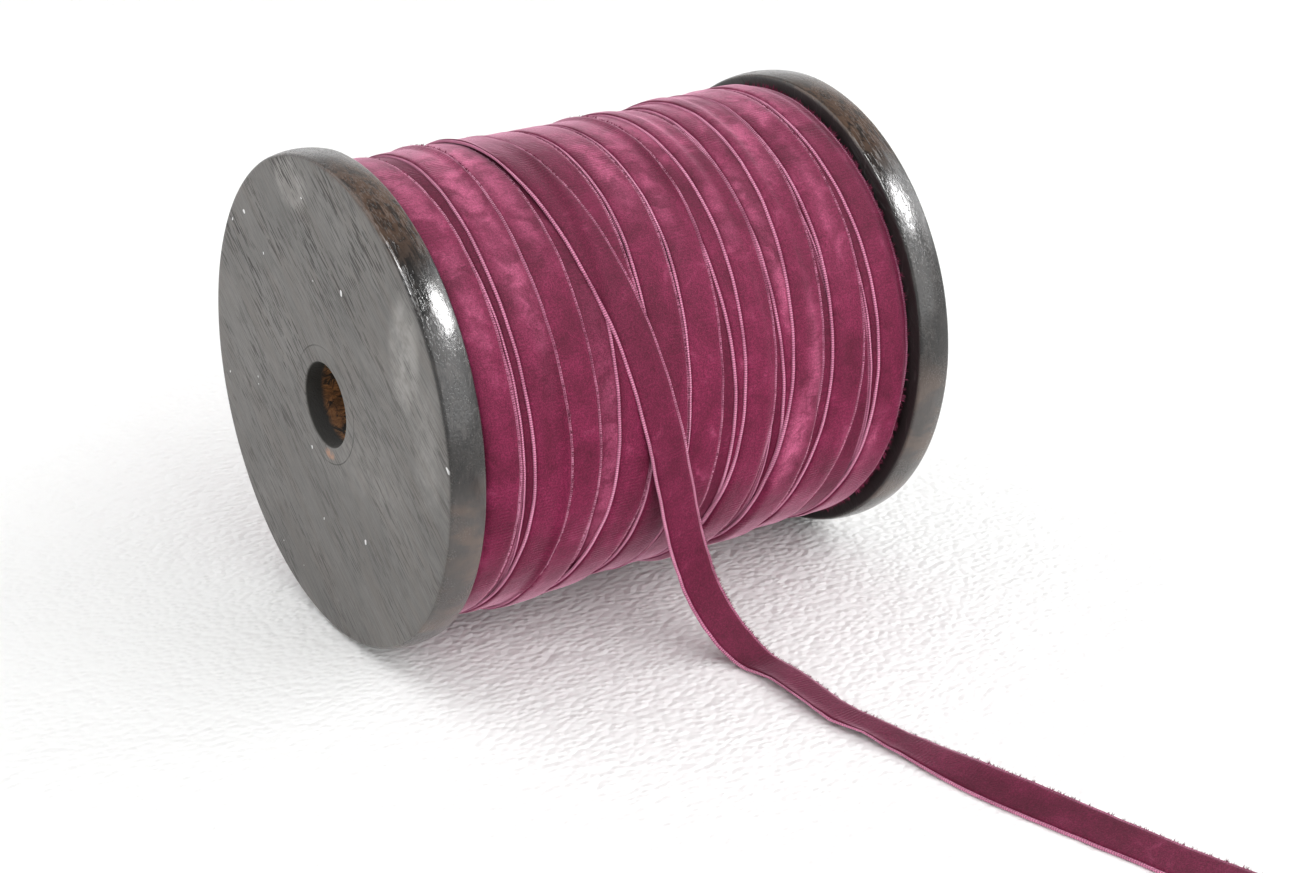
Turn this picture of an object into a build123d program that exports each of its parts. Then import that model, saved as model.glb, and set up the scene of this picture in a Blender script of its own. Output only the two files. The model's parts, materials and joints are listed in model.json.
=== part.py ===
"""Wooden ribbon spool: two turned flanges on a bored core, wound with narrow velvet ribbon.

Frame: +X along the spool's axis, -Y to the front where the ribbon leaves, +Z up.
The origin is on the table, under the middle of the spool's length.
"""

from build123d import *
from math import cos, radians, sin, tan
import os

os.makedirs("parts", exist_ok=True)

# ---------------------------------------------------------------- driving sizes (mm)
# turned wood
flange_diameter = 120.0
flange_thickness = 9.3
flange_edge_break = 0.6
winding_width = 122.4
core_diameter = 38.0
tenon_diameter = 28.8
bore_diameter = 20.5
bore_edge_break = 0.4
glue_clearance = 0.05

# ribbon
ribbon_width = 10.0
ribbon_thickness = 1.0
winding_diameter = 112.0
lap_clearance = 0.15
core_wrap_clearance = 0.2
side_clearance = 0.4
turn_slant = 2.0
turn_phase = 90.0
last_turn_slant = 14.3
last_turn_centre = -9.6
last_turn_phase = -101.0

# tack that holds the ribbon's inner end
tack_from_flange = 6.0
tack_head_diameter = 5.0
tack_head_thickness = 0.6
tack_shank_diameter = 1.2
tack_length = 6.0

# ---------------------------------------------------------------- sizes that follow
flange_radius = flange_diameter / 2
axis_height = flange_radius
overall_length = winding_width + 2 * flange_thickness
winding_radius = winding_diameter / 2
upper_inner_radius = winding_radius - ribbon_thickness
lower_outer_radius = upper_inner_radius - lap_clearance
lower_inner_radius = lower_outer_radius - ribbon_thickness
pack_radius = lower_inner_radius - lap_clearance
last_inner_radius = winding_radius + lap_clearance
last_outer_radius = last_inner_radius + ribbon_thickness
turn_drift = winding_radius * tan(radians(turn_slant))
tack_place = tack_from_flange - winding_width / 2

# The spool's axis, at its height above the table, and the plane square to it.
spool_axis = Axis((0, 0, axis_height), (1, 0, 0))
half_section = Plane(origin=(0, 0, axis_height), x_dir=(1, 0, 0), z_dir=(0, -1, 0))

# Free width beside each outer turn, in the order that the turns lie, from the left flange.
# The last value of each row is what is left before the right flange. The rows are shares of
# the free width, so the turns always fill the space between the flanges.
lower_turns = ("outer_turn_01", "outer_turn_02", "outer_turn_03", "outer_turn_07", "outer_turn_09")
lower_gaps = (0.1, 0.7, 0.3, 36.1, 4.3, 26.2)
upper_turns = (
    "outer_turn_04", "outer_turn_05", "outer_turn_06", "outer_turn_08",
    "outer_turn_10", "outer_turn_11", "outer_turn_12",
)
upper_gaps = (34.8, 1.4, 0.4, 4.5, 5.0, 1.3, 0.2, 0.1)

# Centre line of the free end, from where it leaves the winding to its cut end on the table.
table_clearance = 0.1
ribbon_lift = ribbon_thickness / 2 + table_clearance
tail_points = [
    (-11.3, -56.5, 56.0),
    (-7.6, -55.6, 40.5),
    (-3.0, -54.8, 23.5),
    (1.0, -58.2, 10.8),
    (6.0, -67.0, ribbon_lift),
    (7.9, -80.0, ribbon_lift),
    (6.6, -97.0, ribbon_lift),
    (11.0, -116.0, ribbon_lift),
    (15.0, -136.0, ribbon_lift),
    (20.2, -156.0, ribbon_lift),
    (25.6, -175.0, ribbon_lift),
    (30.9, -194.0, ribbon_lift),
    (37.3, -212.0, ribbon_lift),
]


def largest_radii(points):
    """Give the arc radius at each inner point: 0.45 of the shorter run over tan(half the turn)."""
    radii = []
    for before, here, after in zip(points, points[1:], points[2:]):
        run_in = Vector(*here) - Vector(*before)
        run_out = Vector(*after) - Vector(*here)
        half_turn = radians(run_in.get_angle(run_out)) / 2
        radii.append(0.45 * min(run_in.length, run_out.length) / tan(half_turn))
    return radii


def turn_starts(gaps, count):
    """Give the left edge of each turn of a layer, sharing out the width that the ribbon leaves free."""
    margin = side_clearance + turn_drift
    share = (winding_width - 2 * margin - count * ribbon_width) / sum(gaps)
    starts = []
    edge = margin - winding_width / 2
    for gap in gaps[:count]:
        edge += gap * share
        starts.append(edge)
        edge += ribbon_width
    return starts


# ---------------------------------------------------------------- flanges
def make_flange(side):
    """Turn one flange: a flat disc with a hole for the core's tenon. side is -1 for left, +1 for right."""
    inner_face = side * winding_width / 2
    with BuildPart() as flange:
        with BuildSketch(Plane.YZ.offset(inner_face)):
            with Locations((0, axis_height)):
                Circle(flange_radius)
                Circle(tenon_diameter / 2 + glue_clearance, mode=Mode.SUBTRACT)
        extrude(amount=side * flange_thickness)
        rims = flange.edges().filter_by(GeomType.CIRCLE).sort_by(SortBy.RADIUS)[-2:]
        fillet(rims, radius=flange_edge_break)
    return flange.part


# ---------------------------------------------------------------- core
def make_core():
    """Make the barrel between the flanges, with a tenon at each end and the bore right through."""
    with BuildPart() as core:
        with BuildSketch(half_section):
            with BuildLine():
                Polyline(
                    (-overall_length / 2, 0),
                    (-overall_length / 2, tenon_diameter / 2),
                    (-winding_width / 2, tenon_diameter / 2),
                    (-winding_width / 2, core_diameter / 2),
                    (winding_width / 2, core_diameter / 2),
                    (winding_width / 2, tenon_diameter / 2),
                    (overall_length / 2, tenon_diameter / 2),
                    (overall_length / 2, 0),
                    close=True,
                )
            make_face()
        revolve(axis=spool_axis, revolution_arc=360)
        with BuildSketch(Plane.YZ.offset(-overall_length / 2)):
            with Locations((0, axis_height)):
                Circle(bore_diameter / 2)
        extrude(amount=overall_length, mode=Mode.SUBTRACT)
        mouths = core.edges().filter_by(GeomType.CIRCLE).sort_by(SortBy.RADIUS)[:2]
        chamfer(mouths, length=bore_edge_break)
        # Pilot hole for the tack, drilled down into the top of the barrel.
        with Locations(Location((tack_place, 0, axis_height + core_diameter / 2))):
            Hole(tack_shank_diameter / 2, depth=tack_length)
    return core.part


# ---------------------------------------------------------------- tack
def make_tack():
    """Make the tack: a flat head on the barrel and a shank down into the wood."""
    seat = Plane.XY.offset(axis_height + core_diameter / 2)
    with BuildPart() as tack:
        with BuildSketch(seat):
            with Locations((tack_place, 0)):
                Circle(tack_shank_diameter / 2)
        extrude(amount=-tack_length)
        with BuildSketch(seat):
            with Locations((tack_place, 0)):
                Circle(tack_head_diameter / 2)
        extrude(amount=tack_head_thickness)
    return tack.part


# ---------------------------------------------------------------- ribbon
def make_pack():
    """Make the inner windings: a drum round the core, with a recess over the tack's head."""
    with BuildPart() as pack:
        with BuildSketch(half_section):
            with Locations((0, (pack_radius + core_diameter / 2 + core_wrap_clearance) / 2)):
                Rectangle(
                    winding_width - 2 * side_clearance,
                    pack_radius - core_diameter / 2 - core_wrap_clearance,
                )
        revolve(axis=spool_axis, revolution_arc=360)
        with BuildSketch(Plane.XY.offset(axis_height)):
            with Locations((tack_place, 0)):
                Circle(tack_head_diameter / 2 + core_wrap_clearance)
        extrude(amount=core_diameter / 2 + tack_head_thickness + core_wrap_clearance, mode=Mode.SUBTRACT)
    return pack.part


def make_band(centre, slant, phase, inner_radius, outer_radius):
    """Make one closed turn: a thin ring cut square to its own slanted plane.

    Its middle is at centre + tan(slant) * radius * cos(angle - phase), where angle 0 is the front
    and 90 the top.
    """
    lean = tan(radians(slant))
    across = Vector(1, lean * cos(radians(phase)), -lean * sin(radians(phase)))
    middle = Plane(origin=(centre, 0, axis_height), z_dir=across)
    half_span = ribbon_width / 2 + outer_radius * lean
    with BuildPart() as band:
        with BuildSketch(Plane.YZ.offset(centre - half_span)):
            with Locations((0, axis_height)):
                Circle(outer_radius)
                Circle(inner_radius, mode=Mode.SUBTRACT)
        extrude(amount=2 * half_span)
        split(bisect_by=middle.offset(ribbon_width / 2), keep=Keep.BOTTOM)
        split(bisect_by=middle.offset(-ribbon_width / 2), keep=Keep.TOP)
    return band.part


def make_last_turn():
    """Make the turn on top of the others, open at the front where the free end begins."""
    full = make_band(last_turn_centre, last_turn_slant, last_turn_phase, last_inner_radius, last_outer_radius)
    with BuildPart() as turn:
        add(full)
        with BuildSketch(tail_start_plane()):
            Rectangle(5 * ribbon_width, winding_diameter)
        extrude(amount=flange_diameter, mode=Mode.SUBTRACT)
    return turn.part


def tail_start_plane():
    """Give the plane square to the free end where it leaves the winding, with its x along the width."""
    start = Vector(*tail_points[0])
    run = (Vector(*tail_points[1]) - start).normalized()
    level = Vector(1, 0, 0)
    width_direction = (level - run * level.dot(run)).normalized()
    return Plane(origin=start, x_dir=width_direction, z_dir=run)


def make_tail():
    """Sweep the flat ribbon along its free end; the width stays level all the way."""
    radii = largest_radii(tail_points)
    print("tail radii (mm):", [round(radius, 1) for radius in radii])
    with BuildPart() as tail:
        with BuildLine() as route:
            FilletPolyline(*tail_points, radius=radii)
        with BuildSketch(tail_start_plane()):
            Rectangle(ribbon_width, ribbon_thickness)
        guide = route.wire().moved(Location((2 * ribbon_width, 0, 0)))
        sweep(path=route.wire(), binormal=guide)
    expected = ribbon_width * ribbon_thickness * route.wire().length
    print("tail length (mm):", round(route.wire().length, 1))
    print("tail volume over section times length:", round(tail.part.volume / expected, 4))
    return tail.part


# ---------------------------------------------------------------- write the pieces
def write_piece(part, name):
    """Label one finished piece and write it under its own name."""
    part.label = name
    export_step(part, f"parts/{name}.step")


write_piece(make_flange(-1), "flange_left")
write_piece(make_flange(1), "flange_right")
write_piece(make_core(), "core_barrel")
write_piece(make_tack(), "end_tack")
write_piece(make_pack(), "ribbon_pack")

for turn_name, start in zip(lower_turns, turn_starts(lower_gaps, len(lower_turns))):
    middle = start + ribbon_width / 2
    write_piece(make_band(middle, turn_slant, turn_phase, lower_inner_radius, lower_outer_radius), turn_name)

for turn_name, start in zip(upper_turns, turn_starts(upper_gaps, len(upper_turns))):
    middle = start + ribbon_width / 2
    write_piece(make_band(middle, turn_slant, turn_phase, upper_inner_radius, winding_radius), turn_name)

write_piece(make_last_turn(), "last_turn")
write_piece(make_tail(), "ribbon_tail")
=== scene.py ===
"""Looks of a wooden ribbon spool wound with narrow velvet ribbon.

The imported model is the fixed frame: +X along the spool's axis, -Y to the front, +Z up, with
the table at z = 0. Every size is in metres, and every place comes from the frame. On the
winding a point is given by its place along the axis, its radius and its angle, where 0 is
the front, 90 degrees the top and 180 the back.
"""

import json
import logging
import math
from dataclasses import dataclass
from enum import Enum
from typing import ClassVar

import bmesh
import bpy
import numpy as np
from mathutils import Matrix, Vector

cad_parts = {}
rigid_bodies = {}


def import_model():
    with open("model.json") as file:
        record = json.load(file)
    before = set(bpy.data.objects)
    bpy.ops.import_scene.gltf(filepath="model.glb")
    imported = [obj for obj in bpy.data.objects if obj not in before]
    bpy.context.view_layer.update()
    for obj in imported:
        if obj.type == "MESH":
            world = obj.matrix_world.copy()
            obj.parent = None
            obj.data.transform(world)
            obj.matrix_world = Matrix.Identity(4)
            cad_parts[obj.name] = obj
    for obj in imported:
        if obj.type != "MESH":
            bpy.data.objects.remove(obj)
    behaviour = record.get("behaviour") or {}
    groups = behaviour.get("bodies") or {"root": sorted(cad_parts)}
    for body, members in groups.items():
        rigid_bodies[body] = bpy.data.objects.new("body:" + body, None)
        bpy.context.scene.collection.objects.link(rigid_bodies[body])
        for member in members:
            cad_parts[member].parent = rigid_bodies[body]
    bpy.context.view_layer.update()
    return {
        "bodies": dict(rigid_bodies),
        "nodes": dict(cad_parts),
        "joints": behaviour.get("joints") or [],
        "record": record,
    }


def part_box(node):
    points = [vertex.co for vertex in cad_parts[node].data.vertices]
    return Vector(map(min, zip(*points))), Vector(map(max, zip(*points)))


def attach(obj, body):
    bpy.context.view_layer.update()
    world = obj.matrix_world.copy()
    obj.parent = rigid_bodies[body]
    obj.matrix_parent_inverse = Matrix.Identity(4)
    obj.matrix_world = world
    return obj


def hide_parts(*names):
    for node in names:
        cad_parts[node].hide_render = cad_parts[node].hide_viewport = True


MM = 0.001
FULL_TURN = 2 * math.pi
LOG = logging.getLogger("ribbon_spool")

# The last turn and the free end are one ribbon. Its length is counted from this mark at the
# exit, and this number sets its mottling apart from the turns below.
EXIT_MARK = 30.0
FRESH_STRIP = 7.3

Socket = bpy.types.NodeSocket
Value = Socket | float
Colour = tuple[float, float, float]
Piece = bpy.types.Object


class Slot(Enum):
    """Material slots of the record."""

    STAINED_WOOD = "stained_wood"
    BARE_WOOD = "bare_wood"
    VELVET = "velvet"
    STEEL = "steel"


# ---------------------------------------------------------------- the frame's sizes
@dataclass(frozen=True)
class SpoolSizes:
    """Sizes of the spool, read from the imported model.

    Attributes:
        axis_height: Height of the spool's axis above the table.
        flange_radius: Radius of both flanges.
        left_inner: Axial place of the left flange's inner face.
        right_inner: Axial place of the right flange's inner face.
        half_length: Half of the overall length.
        bore_radius: Radius of the bore.
        tenon_radius: Radius of the core's tenon, which shows as a ring on the outer faces.
        pack_radius: Radius of the inner windings.
        winding_radius: Radius of the upper outer turns.
    """

    axis_height: float
    flange_radius: float
    left_inner: float
    right_inner: float
    half_length: float
    bore_radius: float
    tenon_radius: float
    pack_radius: float
    winding_radius: float

    TENON_RADIUS: ClassVar[float] = 14.4 * MM

    @classmethod
    def from_frame(cls, frame: dict) -> "SpoolSizes":
        """Read the sizes.


        Returns:
            The sizes in metres.
        """
        mounts = {mount["name"]: mount for mount in frame["record"]["mounts"]}
        bore = mounts["spindle_bore"]
        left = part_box("flange_left")
        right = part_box("flange_right")
        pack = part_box("ribbon_pack")
        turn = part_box("outer_turn_04")
        return cls(
            axis_height=bore["pos_m"][2],
            flange_radius=bore["pos_m"][2],
            left_inner=left[1].x,
            right_inner=right[0].x,
            half_length=right[1].x,
            bore_radius=bore["dims"]["r_mm"] * MM,
            tenon_radius=cls.TENON_RADIUS,
            pack_radius=(pack[1].z - pack[0].z) / 2,
            winding_radius=(turn[1].z - turn[0].z) / 2,
        )

    def point(self, place: float, radius: float, angle: float) -> Vector:
        """Give the point at an axial place, a radius and an angle in radians."""
        forward = radius * math.cos(angle)
        return Vector((place, -forward, self.axis_height + radius * math.sin(angle)))


# ---------------------------------------------------------------- materials
def shade(colour: Colour, share: float) -> Colour:
    """Give a colour lighter or darker by a share."""
    return tuple(part * share for part in colour)


class Nodes:
    """Short calls that build one material's node tree."""

    def __init__(self, name: str) -> None:
        """Make an empty material with a Principled shader.

        Args:
            name: The material's name.
        """
        self.material = bpy.data.materials.new(name)
        self.material.use_nodes = True
        self.tree = self.material.node_tree
        self.tree.nodes.clear()
        self.shader = self.tree.nodes.new("ShaderNodeBsdfPrincipled")
        output = self.tree.nodes.new("ShaderNodeOutputMaterial")
        self.tree.links.new(self.shader.outputs["BSDF"], output.inputs["Surface"])

    def put(self, socket: Socket, value: Value | tuple) -> None:
        """Link a socket, or set a constant, on an input.

        Args:
            socket: The input socket.
            value: An output socket or a constant.
        """
        if isinstance(value, bpy.types.NodeSocket):
            self.tree.links.new(value, socket)
        elif isinstance(value, (tuple, list)) and socket.type == "RGBA" and len(value) == 3:
            socket.default_value = (*value, 1.0)
        else:
            socket.default_value = value

    def set(self, **values: Value | tuple) -> None:
        """Set inputs of the shader; an underscore in a name stands for a space."""
        for name, value in values.items():
            self.put(self.shader.inputs[name.replace("_", " ")], value)

    def object_place(self) -> Socket:
        """Give the piece's own coordinates, which are the row frame's, in metres."""
        return self.tree.nodes.new("ShaderNodeTexCoord").outputs["Object"]

    def ribbon_place(self) -> Socket:
        """Read the ribbon's own map.

        Returns:
            Metres along the ribbon and metres across it.
        """
        node = self.tree.nodes.new("ShaderNodeUVMap")
        node.uv_map = "ribbon"
        return node.outputs["UV"]

    def attribute(self, name: str) -> Socket:
        """Read a number that is stored on the mesh.

        Args:
            name: The number's name.

        Returns:
            The number.
        """
        node = self.tree.nodes.new("ShaderNodeAttribute")
        node.attribute_name = name
        return node.outputs["Fac"]

    def axes(self, vector: Socket) -> tuple[Socket, Socket, Socket]:
        """Split a vector.

        Args:
            vector: The vector.

        Returns:
            Its three numbers.
        """
        node = self.tree.nodes.new("ShaderNodeSeparateXYZ")
        self.put(node.inputs[0], vector)
        return node.outputs[0], node.outputs[1], node.outputs[2]

    def join(self, x: Value, y: Value, z: Value = 0.0) -> Socket:
        """Make a vector from three numbers.

        Args:
            x: Its first number.
            y: Its second number.
            z: Its third number.

        Returns:
            The vector.
        """
        node = self.tree.nodes.new("ShaderNodeCombineXYZ")
        for socket, value in zip(node.inputs, (x, y, z)):
            self.put(socket, value)
        return node.outputs[0]

    def grey(self, value: Value) -> Socket:
        """Make a grey, or a share of a colour to multiply by, from one number."""
        return self.join(value, value, value)

    def place(
        self,
        vector: Socket,
        scale: tuple = (1, 1, 1),
        turn: tuple = (0, 0, 0),
        move: tuple = (0, 0, 0),
    ) -> Socket:
        """Scale, turn and move a coordinate.

        Args:
            vector: The coordinate.
            scale: Its scale on each axis.
            turn: Its turn about each axis, in radians.
            move: Its shift along each axis.

        Returns:
            The new coordinate.
        """
        node = self.tree.nodes.new("ShaderNodeMapping")
        self.put(node.inputs["Vector"], vector)
        node.inputs["Scale"].default_value = scale
        node.inputs["Rotation"].default_value = turn
        node.inputs["Location"].default_value = move
        return node.outputs[0]

    def noise(
        self,
        vector: Socket,
        scale: float,
        detail: float = 3.0,
        rough: float = 0.5,
        twist: float = 0.0,
    ) -> Socket:
        """Give a noise from 0 to 1.

        Args:
            vector: The coordinate it reads.
            scale: Features per metre of that coordinate.
            detail: Octaves.
            rough: How strong the finer octaves are.
            twist: Distortion.

        Returns:
            The noise.
        """
        node = self.tree.nodes.new("ShaderNodeTexNoise")
        self.put(node.inputs["Vector"], vector)
        node.inputs["Scale"].default_value = scale
        node.inputs["Detail"].default_value = detail
        node.inputs["Roughness"].default_value = rough
        node.inputs["Distortion"].default_value = twist
        return node.outputs["Fac"]

    def math(
        self,
        operation: str,
        first: Value,
        second: Value = 0.0,
        third: Value = 0.0,
        clamp: bool = False,
    ) -> Socket:
        """Give the result of one sum on numbers.

        Args:
            operation: The sum's name in Blender.
            first: First number.
            second: Second number.
            third: Third number, where the sum has one.
            clamp: True to keep the result between 0 and 1.

        Returns:
            The result.
        """
        node = self.tree.nodes.new("ShaderNodeMath")
        node.operation = operation
        node.use_clamp = clamp
        for socket, value in zip(node.inputs, (first, second, third)):
            self.put(socket, value)
        return node.outputs[0]

    def times(self, first: Value, second: Value) -> Socket:
        """Multiply two numbers."""
        return self.math("MULTIPLY", first, second)

    def times_plus(self, first: Value, second: Value, base: Value, clamp: bool = False) -> Socket:
        """Multiply two numbers and add a third."""
        return self.math("MULTIPLY_ADD", first, second, base, clamp)

    def span(
        self, value: Socket, low: float, high: float, to_low: float = 0.0, to_high: float = 1.0
    ) -> Socket:
        """Map a number smoothly from one span to another, clamped at its ends.

        Args:
            value: The number.
            low: Where it gives to_low.
            high: Where it gives to_high, which may lie below low.
            to_low: Result at low.
            to_high: Result at high.

        Returns:
            The result.
        """
        node = self.tree.nodes.new("ShaderNodeMapRange")
        node.interpolation_type = "SMOOTHSTEP"
        for socket, item in zip(node.inputs, (value, low, high, to_low, to_high)):
            self.put(socket, item)
        return node.outputs[0]

    def blend(
        self, factor: Value, first: Socket | Colour, second: Socket | Colour, kind: str = "MIX"
    ) -> Socket:
        """Blend two colours.

        Args:
            factor: Share of the second.
            first: The first colour.
            second: The second colour.
            kind: Blender's name for the way they are blended.

        Returns:
            The blended colour.
        """
        node = self.tree.nodes.new("ShaderNodeMix")
        node.data_type = "RGBA"
        node.blend_type = kind
        self.put(node.inputs[0], factor)
        self.put(node.inputs[6], first)
        self.put(node.inputs[7], second)
        return node.outputs[2]

    def bump(
        self, height: Socket, distance: float, strength: float = 1.0, base: Socket | None = None
    ) -> Socket:
        """Turn a height from 0 to 1 into a normal.

        Args:
            height: The height.
            distance: Metres that a height of 1 stands for.
            strength: Share of the effect.
            base: Another bump's normal, to add to.

        Returns:
            The normal.
        """
        node = self.tree.nodes.new("ShaderNodeBump")
        node.inputs["Strength"].default_value = strength
        node.inputs["Distance"].default_value = distance
        self.put(node.inputs["Height"], height)
        if base is not None:
            self.put(node.inputs["Normal"], base)
        return node.outputs["Normal"]


@dataclass(frozen=True)
class Velvet:
    """Cut-pile velvet ribbon: a soft pile between two paler woven selvedges.

    Attributes:
        shadow: Colour of the pile where it leans towards the eye.
        pile: Its middle colour.
        crushed: Its colour where it is crushed flat and shines; it is also laid on as painted sheen
            on the tops of the turns.
        selvedge: Colour of the woven edges.
        sheen: How strongly the pile glows at its edges.
        half_pile: Half of the pile's width.
        weft_pitch: Distance between the weft ridges that show through the pile.
        bead_pitch: Distance between the loops of the selvedge.
        glow: Colour of the sheen.
    """

    shadow: Colour = (0.084, 0.0048, 0.022)
    pile: Colour = (0.152, 0.0110, 0.045)
    crushed: Colour = (0.42, 0.090, 0.180)
    selvedge: Colour = (0.66, 0.225, 0.370)
    sheen: float = 0.85
    half_pile: float = 4.34 * MM
    weft_pitch: float = 0.95 * MM
    bead_pitch: float = 0.56 * MM
    glow: Colour = (0.98, 0.54, 0.70)

    def make(self, name: str, deepen: float = 0.0) -> bpy.types.Material:
        """Build the material.

        Args:
            name: The material's name.
            deepen: Share by which the pile is darker, as on the fresh last turn, and as painted
                shade on the velvet seen in the gaps.

        Returns:
            The material, which reads object coordinates, the map "ribbon" and the attributes
            "crush" and "strip".
        """
        n = Nodes(name)
        place = n.ribbon_place()
        along, across, _ = n.axes(place)
        side = n.math("ABSOLUTE", across)
        edge = n.span(side, self.half_pile - 0.05 * MM, self.half_pile + 0.06 * MM)

        x, y, z = n.axes(n.object_place())
        own = n.join(n.math("ADD", x, n.attribute("strip")), y, z)
        lean = n.noise(n.place(own, scale=(1.0, 0.6, 0.6)), 95.0, 2.0, 0.5, 0.5)
        patch = n.noise(n.place(own, move=(3.1, 0.7, 0)), 190.0, 3.0, 0.55, 0.5)
        fleck = n.noise(n.place(own, move=(1.7, 2.9, 0)), 1500.0, 2.0, 0.6)
        grain = n.noise(own, 3600.0, 1.0, 0.5)
        weft = n.math("SINE", n.times(along, FULL_TURN / self.weft_pitch))
        weft_here = n.span(n.noise(n.place(own, move=(1.3, 4.0, 0)), 120.0, 2.0), 0.42, 0.64)
        ridge = n.times(weft, weft_here)

        small = n.times(n.span(patch, 0.32, 0.68), 0.40)
        tone = n.times_plus(n.span(lean, 0.34, 0.64), 0.60, small)
        colour = n.blend(tone, self.shadow, self.pile)
        # deepen darkens the pile: painted shade on the velvet seen in the gaps, and a darker tone
        # on the fresh last turn.
        if deepen:
            colour = n.blend(deepen, colour, shade(self.shadow, 0.8))
        # Lighter patches blended to the crushed colour: crushed pile, and painted sheen where the
        # mesh marks the tops of the turns.
        shine = n.times(n.span(patch, 0.55, 0.72), n.span(lean, 0.50, 0.66))
        worn = n.times(n.attribute("crush"), n.span(patch, 0.36, 0.62, 0.35, 1.0))
        crush = n.times_plus(shine, 0.26 * (1.0 - deepen), worn, clamp=True)
        colour = n.blend(crush, colour, self.crushed)
        fine = n.span(grain, 0.32, 0.70, 0.78, 1.30)
        speck = n.times(n.span(fleck, 0.34, 0.68, 0.89, 1.14), fine)
        speck = n.times(speck, n.times_plus(ridge, 0.06, 1.0))
        colour = n.blend(1.0, colour, n.grey(speck), "MULTIPLY")

        bead = n.math("SINE", n.times(along, FULL_TURN / self.bead_pitch))
        bead_light = n.times_plus(bead, 0.32, 0.92)
        edge_colour = n.blend(1.0, self.selvedge, n.grey(bead_light), "MULTIPLY")
        faded = n.span(n.noise(own, 90.0, 2.0), 0.42, 0.66, 0.0, 0.34)
        fuzzy = n.span(across, 0.0, 1.0 * MM, 0.0, 0.42)
        edge_colour = n.blend(n.math("ADD", faded, fuzzy, clamp=True), edge_colour, self.pile)
        colour = n.blend(edge, colour, edge_colour)

        pile_height = n.times_plus(patch, 1.0, n.times(grain, 0.45))
        pile_height = n.times_plus(fleck, 0.40, pile_height)
        pile_height = n.times_plus(ridge, 0.12, pile_height)
        height = n.times_plus(n.times(bead, edge), 0.9, pile_height)
        n.set(
            Base_Color=colour,
            Roughness=0.82,
            Specular_IOR_Level=0.12,
            Sheen_Weight=self.sheen,
            Sheen_Roughness=0.32,
            Sheen_Tint=self.glow,
            Normal=n.bump(height, 0.16 * MM, 0.9),
        )
        return n.material


@dataclass(frozen=True)
class Spot:
    """A soft-edged patch on the wood.

    Attributes:
        forward: Distance from the axis towards the front.
        up: Distance above the axis.
        wide: Half of its size across the grain.
        tall: Half of its size along the vertical.
        strength: Its strength, 0 to 1.
    """

    forward: float
    up: float
    wide: float
    tall: float
    strength: float


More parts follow.
